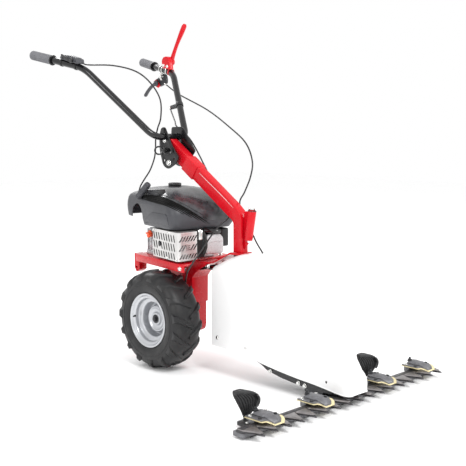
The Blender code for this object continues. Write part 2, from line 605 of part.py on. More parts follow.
def make_bar(m, paint):
    half = TOOTH_PITCH * TOOTH_COUNT / 2
    bar = build("back_bar", *block((-half, -0.6920, 0.0060), (half, -0.6500, 0.0180)), paint["dark"],
                m)
    join(bar, block((-0.0450, -0.6600, 0.0060), (0.0450, -0.5700, 0.0180)), m)
    for x in (-SOLE_X, 0.0, SOLE_X):
        join(bar, block((x - 0.0300, -0.6900, 0.0), (x + 0.0300, -0.6530, 0.0070)), m)
    comb = toothed(-0.6650, TOOTH_ROOT_Y, TOOTH_TIP_Y, 0.0200, 0.0025, 0.0256, 0.0183, 0.0250, 0.0030)
    build("finger_comb", *comb, paint["steel"], m)
    shape = toothed(-0.6670, TOOTH_ROOT_Y - 0.0010, -0.7340, 0.0195, 0.0040, 0.0250, 0.0253, 0.0283)
    knife = build("knife", *shape, paint["steel"], m)
    join(knife, block((-0.0200, -0.6850, 0.0270), (0.0200, -0.6450, 0.0530)), m)
    cut(knife, block((-0.0056, -0.6760, 0.0330), (0.0056, -0.6440, 0.0600)), m)

    for k, x in enumerate(PRESSER_X, 1):
        body = [(-0.6330, 0.0183), (-0.6640, 0.0183), (-0.6640, 0.0380), (-0.6750, 0.0380),
                (-0.7200, 0.0287), (-0.7230, 0.0320), (-0.6850, 0.0480), (-0.6360, 0.0500),
                (-0.6330, 0.0440)]
        name = "presser_" + str(k)
        presser = build(name, *prism(body, x - 0.0270, x + 0.0270, "X"), paint["zinc"], m)
        join(presser, block((x - 0.0400, -0.7000, 0.0410), (x + 0.0400, -0.6400, 0.0440)), m)
        join(presser, turned(rod(0.0070, 0.0430, 0.0640), (x, -0.6550, 0), (0, 0, 1), 10), m)

    for k, x in enumerate(SHIELD_X, 1):
        steps = ((0.0075, 0.028, -0.6230), (0.0600, 0.040, -0.6190), (0.0980, 0.045, -0.6140),
                 (0.1100, 0.039, -0.6115))
        rows = [[(x - w, front, z), (x + w, front, z), (x + w, front + 0.0110, z),
                 (x - w, front + 0.0110, z)] for z, w, front in steps]
        name = "swath_plate_" + str(k)
        shield = build(name, *loft(rows), paint["dark"], m)
        join(shield, block((x - 0.0250, -0.6497, 0.0065), (x + 0.0250, -0.6050, 0.0175)), m)


def hood_section(y, half, low, high, corner):
    """Ring of an upside-down U: out over the outside and back along the inside."""
    def arch(half_w, bottom, top, radius):
        points = [(-half_w, bottom), (-half_w, top - radius)]
        points += [(-half_w + radius * (1 - math.cos(a)), top - radius + radius * math.sin(a))
                   for a in (math.pi / 8 * k for k in range(1, 4))]
        points.append((-half_w + radius, top))
        return points + [(-x, z) for x, z in reversed(points)]
    outside = arch(half, low, high, corner)
    inside = arch(half - SHEET, low, high - SHEET, max(corner - SHEET, 0.0010))
    return [(x, y, z) for x, z in outside + inside[::-1]]


def make_hood(m, paint):
    stations = ((-0.1700, 0.0600, 0.0880, 0.3530, 0.030), (-0.2400, 0.0620, 0.0900, 0.3850, 0.032),
                (-0.3000, 0.0630, 0.0890, 0.4020, 0.035), (-0.3450, 0.0630, 0.0800, 0.3980, 0.040),
                (-0.4000, 0.0620, 0.0690, 0.3550, 0.042), (-0.4700, 0.0600, 0.0590, 0.2760, 0.042),
                (-0.5400, 0.0580, 0.0520, 0.2080, 0.040), (-0.6000, 0.0570, 0.0500, 0.1600, 0.036),
                (-0.6500, 0.0560, 0.0500, 0.1300, 0.034), (-0.6900, 0.0520, 0.0500, 0.1030, 0.030),
                (-0.7150, 0.0420, 0.0510, 0.0800, 0.020), (-0.7250, 0.0300, 0.0520, 0.0640, 0.008))
    sections = [hood_section(*s) for s in stations]
    hood = build("hood", *loft(sections), paint["white"], m)
    cut(hood, block((-0.0305, -0.2700, 0.3400), (0.0305, -0.1500, 0.4300)), m)
    return hood


# Handlebar and controls

def make_handlebar(m, paint):
    side = [HAND_END, HAND_BEND, (0.0720, TILT_Y, TILT_Z)]
    corners = side + mirrored(side)[::-1]
    pivot = (0, TILT_Y, TILT_Z)
    build("handlebar", *swept(bent(corners, 0.036, 4), TUBE_RADIUS, 10), paint["black"], m, pivot)
    length = 0.1070
    for name, sign in (("grip_near", -1), ("grip_far", 1)):
        tip, bend = (Vector((sign * p[0], p[1], p[2])) for p in (HAND_END, HAND_BEND))
        inward = (bend - tip).normalized()
        a, b = tip - inward * 0.0080, tip + inward * (length - 0.0080)
        sleeve = [(0, 0.0), (0.0150, 0.0), (0.0165, 0.0020), (0.0165, length - 0.0060),
                  (0.0210, length - 0.0060), (0.0210, length), (TUBE_RADIUS + RUN, length),
                  (TUBE_RADIUS + RUN, 0.0060), (0, 0.0060)]
        build(name, *turned(sleeve, a, b - a, 16), paint["rubber"], m, pivot)

    box = [(0.3120, 1.0125), (0.4160, 1.0350), (0.4140, 1.0460), (0.3150, 1.0300)]
    build("throttle_box", *prism(box, -0.2330, -0.2010, "X"), paint["plastic"], m, pivot)
    at = (-0.2356, 0.3420, 1.0250)
    lever = build("throttle_lever", *turned(rod(0.0085, -0.0020, 0.0022), at, (1, 0, 0), 14),
                  paint["plastic"], m, at)
    thumb = [(0.3460, 1.0150), (0.3460, 1.0270), (0.3800, 1.0420), (0.4000, 1.0520),
             (0.4040, 1.0450), (0.3820, 1.0330)]
    join(lever, prism(thumb, -0.2376, -0.2334, "X"), m, at)


def make_levers(m, paint):
    pivot = (0, TILT_Y, TILT_Z)
    shape = [(0.3200, 1.0130), (0.3620, 1.0210), (0.3680, 1.0600), (0.3280, 1.0620)]
    build("clutch_bracket", *prism(shape, 0.1860, 0.2060, "X"), paint["red"], m, pivot)
    hub = (0.2145, 0.3440, 1.0430)
    lever = [hub, (0.2145, 0.3080, 1.1100), (0.2145, 0.2650, 1.1750)]
    arm = build("clutch_lever", *swept(lever, [0.0080, 0.0065, 0.0085], 8), paint["red"], m, hub)
    join(arm, turned(rod(0.0150, -0.0040, 0.0100), hub, (1, 0, 0), 16), m, hub)

    hang = [(0.4100, 1.0060), (0.3780, 0.9990), (0.3740, 0.9640), (0.4180, 0.9520),
            (0.4480, 0.9650), (0.4420, 0.9800), (0.4120, 0.9900)]
    build("drive_bracket", *prism(hang, 0.2130, 0.2250, "X"), paint["dark"], m, pivot)
    at = (0.2050, 0.4250, 0.9660)
    grip = build("drive_lever", *swept([at, (0.2050, 0.4600, 0.9480), (0.2050, 0.4920, 0.9180)],
                                       [0.0070, 0.0060, 0.0070], 8), paint["plastic"], m, at)
    join(grip, turned(rod(0.0110, -0.0040, 0.0040), at, (1, 0, 0), 14), m, at)


def make_adjuster(m, paint):
    near = [(0.1147, 0.7960), (0.0960, 0.8000), (0.0780, 0.7820), (0.0020, 0.7000),
            (0.0370, 0.6750), (0.0800, 0.6540), (0.1060, 0.6680), (0.1240, 0.7200),
            (0.1240, 0.7700)]
    far = [(0.1220, 0.7990), (0.0640, 0.8000), (0.0000, 0.7180), (0.0300, 0.6850),
           (0.0800, 0.6620), (0.1060, 0.6700), (0.1240, 0.7200), (0.1240, 0.7800)]
    for name, low, outline in (("adjuster_plate_near", -0.0293, near),
                               ("adjuster_plate_far", 0.0243, far)):
        plate = build(name, *prism(outline, low, low + 0.0050, "X"), paint["dark"], m)
        cut(plate, turned(rod(TUBE_RADIUS + RUN, -0.0500, 0.0500), (0, TILT_Y, TILT_Z), (1, 0, 0),
                          16), m)
    loop = [(-0.0330, 0.0980 + 0.0120 * math.cos(a), 0.7080 + 0.0120 * math.sin(a))
            for a in (2 * math.pi * k / 14 for k in range(14))]
    pin = build("tilt_pin", *torus(loop, 0.0020), paint["dark"], m)
    join(pin, turned(rod(0.0080, -0.0415, -0.0296), (0, 0.0700, 0.6900), (1, 0, 0), 14), m)
    join(pin, block((-0.0345, 0.0700, 0.6930), (-0.0315, 0.0880, 0.7050)), m)


def torus(loop, radius, sides=6):
    """Round bar along a closed loop in a plane across X."""
    centre = sum((Vector(p) for p in loop), Vector()) / len(loop)
    rows = []
    for p in loop:
        out = (Vector(p) - centre).normalized()
        rows.append([tuple(Vector(p) + out * radius * math.cos(a)
                           + Vector((1, 0, 0)) * radius * math.sin(a))
                     for a in (2 * math.pi * k / sides for k in range(sides))])
    verts = [p for row in rows for p in row]
    index = [list(range(i * sides, (i + 1) * sides)) for i in range(len(rows))]
    faces = [f for i in range(len(rows)) for f in ring_faces(index[i], index[(i + 1) % len(rows)])]
    return verts, faces


def make_cables(m, paint):
    skin = paint["plastic"]
    cable("throttle_cable", [(-0.2150, 0.3080, 1.0160), (-0.2120, 0.2750, 1.0080),
                             (-0.1900, 0.1682, 1.0017), (-0.1600, 0.0880, 0.9814),
                             (-0.1300, 0.0489, 0.9455), (-0.0900, 0.0448, 0.8911),
                             (-0.0600, 0.0780, 0.8312), (-0.0480, 0.1100, 0.7939),
                             (-0.0460, 0.1230, 0.7600), (-0.0450, 0.1260, 0.7273),
                             (-0.0450, 0.1310, 0.6928), (-0.0550, 0.1561, 0.6440),
                             (-0.0790, 0.2020, 0.5811), (-0.0840, 0.2450, 0.5450)], 0.0025, skin, m)
    cable("cutter_cable", [(0.2050, 0.3660, 0.9600), (0.1850, 0.2664, 0.9192),
                           (0.1500, 0.0733, 0.8587), (0.1100, -0.0849, 0.7956),
                           (0.0850, -0.1832, 0.7457), (0.0650, -0.2324, 0.6886),
                           (0.0500, -0.2391, 0.6396), (0.0350, -0.2273, 0.5902),
                           (0.0250, -0.2150, 0.5550), (0.0240, -0.2350, 0.5000),
                           (0.0220, -0.2750, 0.4600), (0.0080, -0.3080, 0.4350),
                           (0.0000, -0.3430, 0.4060)], 0.0025, skin, m)
    cable("drive_cable", [(0.1500, 0.2774, 0.8688), (0.0800, 0.1689, 0.8202),
                          (0.0400, 0.1100, 0.7990), (0.0360, 0.0300, 0.7500),
                          (0.0300, -0.0700, 0.6300), (0.0260, -0.1350, 0.5450),
                          (0.0000, -0.1730, 0.4980), (-0.0450, -0.1500, 0.4480),
                          (-0.0900, -0.1540, 0.4062), (-0.1150, -0.1580, 0.3650),
                          (-0.1180, -0.1520, 0.3280), (-0.0950, -0.1150, 0.3080),
                          (-0.0620, -0.0640, 0.2960), (-0.0450, -0.0350, 0.2930)], 0.0025, skin, m)


def paints():
    return {
        "red": material("red_paint", (0.62, 0.010, 0.020), 0.30),
        "black": material("black_paint", (0.030, 0.030, 0.033), 0.35),
        "dark": material("dark_steel", (0.055, 0.057, 0.062), 0.45, 0.6),
        "plastic": material("black_plastic", (0.045, 0.046, 0.050), 0.50),
        "rubber": material("rubber", (0.028, 0.028, 0.029), 0.75),
        "silver": material("silver_paint", (0.55, 0.56, 0.58), 0.35, 0.7),
        "steel": material("bare_steel", (0.48, 0.49, 0.50), 0.35, 1.0),
        "zinc": material("zinc_plate", (0.66, 0.66, 0.64), 0.30, 1.0),
        "brass": material("bronze", (0.60, 0.42, 0.18), 0.35, 1.0),
        "aluminium": material("cast_aluminium", (0.62, 0.63, 0.64), 0.45, 1.0),
        "white": material("white_plastic", (0.86, 0.86, 0.86), 0.35),
        "orange": material("orange_plastic", (0.90, 0.16, 0.03), 0.40),
    }


def main():
    clear_scene()
    paint = paints()
    machine = empty("machine", (0, AXLE_Y, 0))
    engine = empty("engine_axes", (0, ENGINE_Y, PLATE_TOP), ENGINE_TURN, machine)
    make_wheel(machine, paint)
    make_gearbox(machine, paint)
    make_frame(machine, paint)
    make_column(machine, paint)
    make_engine(engine, paint)
    make_drive(machine, paint)
    make_arm(machine, paint)
    make_bar(machine, paint)
    make_hood(machine, paint)
    make_handlebar(machine, paint)
    make_levers(machine, paint)
    make_adjuster(machine, paint)
    make_cables(machine, paint)


main()
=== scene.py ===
"""Looks of the walk-behind brush mower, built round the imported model.

Metres, +Z up. Pieces are written in machine axes, whose origin is on the ground under the wheel
axle, or in engine axes, which stand on the engine plate and are turned with the engine. Both come
from the frame.
"""
import json
import math

import bmesh
import bpy
from mathutils import Matrix, Vector

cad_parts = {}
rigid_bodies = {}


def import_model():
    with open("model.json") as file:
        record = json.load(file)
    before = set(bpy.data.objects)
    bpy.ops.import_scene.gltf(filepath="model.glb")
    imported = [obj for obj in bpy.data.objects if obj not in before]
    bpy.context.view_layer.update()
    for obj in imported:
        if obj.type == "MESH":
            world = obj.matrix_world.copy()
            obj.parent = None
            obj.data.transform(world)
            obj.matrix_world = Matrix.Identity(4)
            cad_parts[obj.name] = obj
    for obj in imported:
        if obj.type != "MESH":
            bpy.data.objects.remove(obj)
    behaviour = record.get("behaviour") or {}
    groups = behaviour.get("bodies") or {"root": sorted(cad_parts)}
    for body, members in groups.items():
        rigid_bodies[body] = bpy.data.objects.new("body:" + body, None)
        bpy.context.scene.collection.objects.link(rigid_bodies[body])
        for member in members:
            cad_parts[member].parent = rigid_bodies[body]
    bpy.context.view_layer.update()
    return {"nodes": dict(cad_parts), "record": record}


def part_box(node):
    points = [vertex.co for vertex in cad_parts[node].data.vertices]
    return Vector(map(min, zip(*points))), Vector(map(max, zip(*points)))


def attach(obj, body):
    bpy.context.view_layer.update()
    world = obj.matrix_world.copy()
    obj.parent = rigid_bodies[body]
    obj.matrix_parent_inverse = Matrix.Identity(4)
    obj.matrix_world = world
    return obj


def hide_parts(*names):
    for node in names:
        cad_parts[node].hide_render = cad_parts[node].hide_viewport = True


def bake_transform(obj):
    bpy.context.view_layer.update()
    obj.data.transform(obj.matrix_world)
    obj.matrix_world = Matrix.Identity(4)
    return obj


for old in list(bpy.data.objects):
    bpy.data.objects.remove(old, do_unlink=True)

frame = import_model()
NODES = frame["nodes"]


def middle(node):
    low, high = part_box(node)
    return (low + high) / 2


AXLE = middle("tyre")
MACHINE = Matrix.Translation((0, AXLE.y, 0))
WHEEL_X = AXLE.x
AXLE_Z = AXLE.z
PLATE_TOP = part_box("engine_plate")[1].z
ENGINE_TURN = math.radians(-12)
ENGINE = (Matrix.Translation((0, middle("crankshaft").y, PLATE_TOP)) @ Matrix.Rotation(ENGINE_TURN,
    4, "Z"))
TOOTH_COUNT = 17
TOOTH_PITCH = (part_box("back_bar")[1].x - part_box("back_bar")[0].x) / TOOTH_COUNT


# Materials

ROUGHNESS_SPREAD = 0.07
RELIEF_DEPTH = 0.0004
COAT_ROUGHNESS = 0.08
DUST_COLOUR = (0.3, 0.28, 0.25)


def surface(name, colour, roughness, metallic=0.0, coat=0.0, mottle=0.06, mottle_scale=14.0,
        grain=0.0, grain_scale=900.0, speckle=0.0, speckle_scale=350.0, dust=0.0, specular=0.5):
    """Principled material whose colour, roughness and relief vary with noise in object space."""
    made = bpy.data.materials.new(name)
    made.use_nodes = True
    tree = made.node_tree
    shader = tree.nodes["Principled BSDF"]
    shader.inputs["Metallic"].default_value = metallic
    shader.inputs["Coat Weight"].default_value = coat
    shader.inputs["Specular IOR Level"].default_value = specular
    shader.inputs["Coat Roughness"].default_value = COAT_ROUGHNESS
    place = tree.nodes.new("ShaderNodeTexCoord")

    def noise(scale, detail):
        node = tree.nodes.new("ShaderNodeTexNoise")
        node.inputs["Scale"].default_value = scale
        node.inputs["Detail"].default_value = detail
        tree.links.new(place.outputs["Object"], node.inputs["Vector"])
        return node.outputs["Fac"]

    def ramp(source, low, high, at=(0.35, 0.65)):
        node = tree.nodes.new("ShaderNodeValToRGB")
        for stop, position, tone in zip(node.color_ramp.elements, at, (low, high)):
            stop.position = position
            stop.color = (*tone, 1.0)
        tree.links.new(source, node.inputs["Fac"])
        return node.outputs["Color"]

    def cover(under, mask, tone):
        mix = tree.nodes.new("ShaderNodeMix")
        mix.data_type = "RGBA"
        tree.links.new(mask, mix.inputs["Factor"])
        tree.links.new(under, mix.inputs["A"])
        mix.inputs["B"].default_value = (*tone, 1.0)
        return mix.outputs["Result"]

    dark = tuple(c * (1 - mottle) for c in colour)
    light = tuple(min(1.0, c * (1 + mottle) + 0.4 * mottle * c) for c in colour)
    tint = ramp(noise(mottle_scale, 4), dark, light)
    if speckle:
        spots = ramp(noise(speckle_scale, 2), (0, 0, 0), (1, 1, 1), (0.56, 0.64))
        tint = cover(tint, spots, [c * (1 - speckle) for c in colour])
    if dust:
        veil = ramp(noise(38.0, 6), (0, 0, 0), (dust, dust, dust), (0.45, 0.75))
        tint = cover(tint, veil, DUST_COLOUR)
    tree.links.new(tint, shader.inputs["Base Color"])
    spread = tree.nodes.new("ShaderNodeMapRange")
    spread.inputs["To Min"].default_value = max(0.04, roughness - ROUGHNESS_SPREAD)
    spread.inputs["To Max"].default_value = min(1.0, roughness + ROUGHNESS_SPREAD)
    tree.links.new(noise(60.0, 5), spread.inputs["Value"])
    tree.links.new(spread.outputs["Result"], shader.inputs["Roughness"])
    if grain:
        bump = tree.nodes.new("ShaderNodeBump")
        bump.inputs["Strength"].default_value = grain
        bump.inputs["Distance"].default_value = RELIEF_DEPTH
        tree.links.new(noise(grain_scale, 3), bump.inputs["Height"])
        tree.links.new(bump.outputs["Normal"], shader.inputs["Normal"])
    return made


RED = surface("red_powder_coat", (0.54, 0.0025, 0.01), 0.26, coat=0.06, mottle=0.05,
    grain=0.1, grain_scale=420.0, specular=0.28)
BLACK = surface("black_gloss_paint", (0.006, 0.006, 0.007), 0.2, coat=0.05,
    mottle=0.1, grain=0.08, grain_scale=500.0)
DARK = surface("dark_painted_steel", (0.02, 0.021, 0.024), 0.4, metallic=0.2,
    mottle=0.14, grain=0.2, grain_scale=700.0)
SHELL = surface("grey_moulded_plastic", (0.044, 0.045, 0.052), 0.44, mottle=0.08,
    grain=0.35, grain_scale=1500.0)
GLOSSY = surface("black_gloss_plastic", (0.006, 0.006, 0.007), 0.13, coat=0.15,
    mottle=0.08)
COVER = surface("satin_black_cover", (0.034, 0.035, 0.039), 0.24, coat=0.1,
    mottle=0.4, mottle_scale=45.0)
LOUVRE = surface("matt_black_louvre", (0.004, 0.004, 0.004), 0.7, mottle=0.1,
    specular=0.15)
PLASTIC = surface("black_plastic", (0.008, 0.008, 0.009), 0.42, mottle=0.1,
    grain=0.3, grain_scale=1300.0)
TYRE = surface("tyre_rubber", (0.009, 0.009, 0.01), 0.44, mottle=0.16,
    mottle_scale=22.0, grain=0.35, grain_scale=650.0, dust=0.04, specular=0.4)
GRIP = surface("grip_rubber", (0.165, 0.167, 0.18), 0.66, mottle=0.1, grain=0.5,
    grain_scale=1800.0)
BELT = surface("belt_rubber", (0.02, 0.019, 0.018), 0.8, mottle=0.12, grain=0.6)
SILVER = surface("silver_rim_paint", (0.52, 0.53, 0.55), 0.3, metallic=0.75,
    mottle=0.04, grain=0.12, grain_scale=1600.0)
STEEL = surface("bare_steel", (0.4, 0.4, 0.41), 0.34, metallic=1.0, mottle=0.12,
    grain=0.3)
CHROME = surface("bright_zinc", (0.74, 0.74, 0.72), 0.18, metallic=1.0, mottle=0.06)
GUARD = surface("muffler_sheet", (0.66, 0.65, 0.64), 0.34, metallic=0.85, mottle=0.07,
    grain=0.1)
ALUMINIUM = surface("sand_cast_aluminium", (0.52, 0.52, 0.53), 0.52, metallic=0.8,
    mottle=0.12, mottle_scale=60.0, grain=0.9, grain_scale=900.0)
SPECKLED = surface("speckled_shield", (0.6, 0.59, 0.6), 0.55, metallic=0.4,
    mottle=0.08, speckle=0.55, speckle_scale=900.0, grain=0.6, grain_scale=900.0)
CLAMP = surface("clamp_steel", (0.155, 0.155, 0.165), 0.42, metallic=0.6, mottle=0.18,
    mottle_scale=70.0, grain=0.7, grain_scale=1100.0)
SPRING = surface("gold_wear_plate", (0.78, 0.68, 0.4), 0.34, metallic=0.55,
    mottle=0.1)
FINGER = surface("ground_finger_steel", (0.06, 0.058, 0.062), 0.42, metallic=0.6,
    mottle=0.16, mottle_scale=50.0, grain=0.5)
BLADE = surface("knife_section_steel", (0.25, 0.235, 0.235), 0.36, metallic=0.85,
    mottle=0.12, mottle_scale=40.0, grain=0.35, grain_scale=900.0)
BRONZE = surface("worm_bronze", (0.55, 0.38, 0.16), 0.36, metallic=1.0, mottle=0.08)
WHITE = surface("white_gloss_plastic", (0.83, 0.83, 0.83), 0.24, coat=0.5,
    mottle=0.012, mottle_scale=4.0, grain=0.04, grain_scale=300.0)
STRIPE = surface("white_stripe_paint", (0.8, 0.76, 0.76), 0.35, mottle=0.03)
ORANGE = surface("orange_plastic", (0.85, 0.085, 0.012), 0.38, mottle=0.06,
    grain=0.2)

SLOTS = {"red_paint": RED, "black_paint": BLACK, "dark_steel": DARK, "black_plastic": PLASTIC,
    "grip_rubber": GRIP, "belt_rubber": BELT, "tyre_rubber": TYRE, "silver_paint": SILVER,
    "bare_steel": STEEL, "zinc_plate": CHROME, "bronze": BRONZE, "cast_aluminium": ALUMINIUM,
    "white_plastic": WHITE, "orange_plastic": ORANGE}


def dress_cad():
    """Every CAD node gets the procedural finish of its slot."""
    for part in frame["record"]["subparts"]:
        mesh = NODES[part["node"]].data
        mesh.materials.clear()
        mesh.materials.append(SLOTS[part["material_slot"]])


# Shape makers: each one returns (verts, faces)

def loft(sections, cap=True, closed=False):
    count = len(sections[0])
    verts = [tuple(p) for ring in sections for p in ring]
    rows = [list(range(i * count, (i + 1) * count)) for i in range(len(sections))]
    pairs = list(zip(rows, rows[1:])) + ([(rows[-1], rows[0])] if closed else [])
    faces = [(a[i], a[(i + 1) % count], b[(i + 1) % count], b[i]) for a, b in pairs
        for i in range(count)]
    if cap and not closed:
        faces += [tuple(rows[0]), tuple(rows[-1])]
    return verts, faces


def level(outline, z):
    """Ring at one height from an outline in plan."""
    return [(x, y, z) for x, y in outline]


def rectangle(x_low, y_low, x_high, y_high):
    return [(x_low, y_low), (x_high, y_low), (x_high, y_high), (x_low, y_high)]


def prism(outline, low, high, axis="X"):
    order = {"X": lambda a, b, h: (h, a, b), "Y": lambda a, b, h: (a, h, b),
        "Z": lambda a, b, h: (a, b, h)}[axis]
    return loft([[order(a, b, h) for a, b in outline] for h in (low, high)])


def block(low, high):
    return prism(rectangle(*low[:2], *high[:2]), low[2], high[2], "Z")


def turned(profile, at=(0, 0, 0), axis=(0, 0, 1), steps=40, closed=False, wave=None):
    """Turn (radius, height) points round an axis; wave(angle) scales the radius."""
    turn, base = Vector(axis).normalized().to_track_quat("Z", "Y").to_matrix(), Vector(at)
    verts, rows = [], []
    for radius, height in profile:
        row = []
        for i in range(1 if radius == 0 else steps):
            angle = 2 * math.pi * i / steps
            r = radius * (wave(angle) if wave else 1.0)
            row.append(len(verts))
            verts.append(tuple(base + turn @ Vector((r * math.cos(angle), r * math.sin(angle),
                height))))
        rows.append(row)
    faces = []
    for a, b in list(zip(rows, rows[1:])) + ([(rows[-1], rows[0])] if closed else []):
        if len(a) == 1:
            faces += [(a[0], b[i], b[(i + 1) % steps]) for i in range(steps)]
        elif len(b) == 1:
            faces += [(b[0], a[(i + 1) % steps], a[i]) for i in range(steps)]
        else:
            faces += [(a[i], a[(i + 1) % steps], b[(i + 1) % steps], b[i]) for i in range(steps)]
    return verts, faces


def rod(radius, low, high, at=(0, 0, 0), axis=(0, 0, 1), steps=40):
    return turned(rectangle(0, low, radius, high), at, axis, steps)


def corner_curve(before, p, after, size, steps):
    """Short curve that replaces the corner p between its two neighbours."""
    cut = min(size, (before - p).length * 0.48, (after - p).length * 0.48)
    a, b = p + (before - p).normalized() * cut, p + (after - p).normalized() * cut
    return [a * (1 - t) ** 2 + p * 2 * t * (1 - t) + b * t * t
        for t in (k / steps for k in range(steps + 1))]


def rounded(corners, radius, steps=5):
    """Closed outline whose corners become short curves; radius is one number or one per corner."""
    out = []
    for i, here in enumerate(corners):
        size = radius[i] if hasattr(radius, "__len__") else radius
        before, after = Vector(corners[i - 1]), Vector(corners[(i + 1) % len(corners)])
        out += [tuple(q) for q in corner_curve(before, Vector(here), after, size, steps)]
    return out


def bent(corners, radius, steps=8):
    """Open path through its corners, each inner one rounded to a bend."""
    path = [Vector(corners[0])]
    for before, p, after in zip(corners, corners[1:], corners[2:]):
        path += corner_curve(Vector(before), Vector(p), Vector(after), radius, steps)
    return path + [Vector(corners[-1])]


def smooth(points, per_span=6):
    """Catmull-Rom curve through given points of any dimension."""
    p = [Vector(q) for q in points]
    p = [p[0] * 2 - p[1]] + p + [p[-1] * 2 - p[-2]]
    out = []
    for i in range(1, len(p) - 2):
        for k in range(per_span):
            t = k / per_span
            out.append(0.5 * (2 * p[i] + (p[i + 1] - p[i - 1]) * t
                + (2 * p[i - 1] - 5 * p[i] + 4 * p[i + 1] - p[i + 2]) * t ** 2
                + (3 * p[i] - p[i - 1] - 3 * p[i + 1] + p[i + 2]) * t ** 3))
    return out + [p[-2]]


def swept(path, radii, sides=16, squeeze=1.0, up=None, closed=False):
    """Round or flattened bar along a path, with one radius or one for each point."""
    points = [Vector(p) for p in path]
    if not hasattr(radii, "__len__"):
        radii = [radii] * len(points)
    count = len(points)
    if closed:
        tangents = [(points[(i + 1) % count] - points[i - 1]).normalized() for i in range(count)]
    else:
        tangents = [(points[min(i + 1, count - 1)] - points[max(i - 1, 0)]).normalized()
            for i in range(count)]
    side = Vector(up) if up else tangents[0].orthogonal()
    sections = []
    for p, tangent, radius in zip(points, tangents, radii):
        side = (side - tangent * side.dot(tangent)).normalized()
        other = tangent.cross(side)
        sections.append([p + side * radius * math.cos(a) + other * radius * squeeze * math.sin(a)
            for a in (2 * math.pi * k / sides for k in range(sides))])
    return loft(sections, closed=closed)


def hoop(centre, axis, radius, thick, steps=40, sides=10):
    turn = Vector(axis).normalized().to_track_quat("Z", "Y").to_matrix()
    path = [Vector(centre) + turn @ Vector((radius * math.cos(a), radius * math.sin(a), 0))
        for a in (2 * math.pi * k / steps for k in range(steps))]
    return swept(path, thick, sides, closed=True)


def hexagon(at, axis, across, height, flange=0.0, stud=0.0):
    """Bolt head with chamfered corners, an optional flange below and an optional stud above."""
    r = across / math.sqrt(3)
    shapes = [turned([(0, 0), (r, 0), (r, height * 0.8), (r * 0.86, height), (0, height)], at, axis,
        6)]
    if flange:
        shapes.append(turned([(0, 0), (flange, 0), (flange, height * 0.16),
            (flange * 0.72, height * 0.34), (0, height * 0.36)], at, axis, 28))
    if stud:
        shapes.append(turned([(0, 0), (stud, 0), (stud, height * 1.7), (stud * 0.8, height * 1.85),
            (0, height * 1.85)], at, axis, 16))
    return shapes


# Objects

def carve(thing, cutters):
    """Cut shapes that don't overlap each other out of a mesh object."""
    tool = raw(thing.name + "_tool", cutters, None, Matrix.Identity(4))
    step = thing.modifiers.new("cut", "BOOLEAN")
    step.operation = "DIFFERENCE"
    step.solver = "EXACT"
    step.object = tool
    settle(thing)
    bpy.data.objects.remove(tool, do_unlink=True)


def settle(thing):
    """Apply a mesh object's modifiers."""
    bpy.context.view_layer.update()
    seen = thing.evaluated_get(bpy.context.evaluated_depsgraph_get())
    mesh = bpy.data.meshes.new_from_object(seen)
    thing.modifiers.clear()
    old, thing.data = thing.data, mesh
    bpy.data.meshes.remove(old)


def raw(name, shapes, finish, place):
    bm = bmesh.new()
    for verts, faces in shapes:
        corners = [bm.verts.new(v) for v in verts]
        for face in faces:
            bm.faces.new([corners[i] for i in face])
    bmesh.ops.recalc_face_normals(bm, faces=bm.faces)
    mesh = bpy.data.meshes.new(name)
    bm.to_mesh(mesh)
    bm.free()
    mesh.transform(place)
    if finish:
        mesh.materials.append(finish)
    thing = bpy.data.objects.new(name, mesh)
    bpy.context.scene.collection.objects.link(thing)
    return thing


def soften(thing, bevel, segments, over, crease):
    """Round the edges that turn more than one angle and shade smooth under another."""
    if bevel:
        step = thing.modifiers.new("bevel", "BEVEL")
        step.width = bevel
        step.segments = segments
        step.limit_method = "ANGLE"
        step.angle_limit = math.radians(over)
        settle(thing)
    thing.data.shade_smooth()
    thing.data.set_sharp_from_angle(angle=math.radians(crease))


def in_world(shapes, place):
    return [([tuple(place @ Vector(v)) for v in verts], faces) for verts, faces in shapes]


def make(name, shapes, finish, body="machine", place=MACHINE, bevel=0.0, segments=2, over=32.0,
        crease=36.0, node=None, cuts=(), slot=None):
    """One piece from shapes, with its groups of cuts, rounded edges, finish and body."""
    if isinstance(shapes, tuple):
        shapes = [shapes]
    thing = raw(name, shapes, finish, place)
    for group in cuts:
        carve(thing, in_world(group, place))
    soften(thing, bevel, segments, over, crease)
    if body:
        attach(thing, body)
    if node:
        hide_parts(node)
    return thing


def on_engine(name, shapes, finish, body="machine", **options):
    return make(name, shapes, finish, body, ENGINE, **options)


def bolt(name, at, axis, across=0.013, height=0.006, body="machine", place=MACHINE, finish=CHROME,
        flange=0.0, stud=0.0):
    shapes = hexagon(at, axis, across, height, flange, stud)
    return make(name, shapes, finish, body, place, bevel=0.0004, segments=1, slot="zinc_plate")


def bolts(prefix, spots, axis, across, height, **options):
    """A row of equal bolts, numbered from one."""
    for i, at in enumerate(spots, 1):
        bolt(prefix + str(i), at, axis, across, height, **options)


def side_name(side):
    return "near" if side < 0 else "far"


def refined(node, finish, bevel=0.001, segments=2, cuts=()):
    """A CAD node's own shape with merged faces and rounded edges."""
    source = NODES[node]
    thing = bpy.data.objects.new("skin_" + node, source.data.copy())
    bpy.context.scene.collection.objects.link(thing)
    thing.data.transform(source.matrix_world)
    thing.data.materials.clear()
    thing.data.materials.append(finish)
    bm = bmesh.new()
    bm.from_mesh(thing.data)
    bmesh.ops.remove_doubles(bm, verts=bm.verts, dist=1e-6)
    bmesh.ops.dissolve_limit(bm, angle_limit=math.radians(0.5), verts=bm.verts, edges=bm.edges)
    bm.to_mesh(thing.data)
    bm.free()
    for group in cuts:
        carve(thing, in_world(group, MACHINE))
    soften(thing, bevel, segments, 34, 34)
    record = frame["record"]
    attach(thing, next(b for b, nodes in record["behaviour"]["bodies"].items() if node in nodes))
    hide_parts(node)
    return thing


# Wheel

LUGS = 15
LUG_START = 0.12


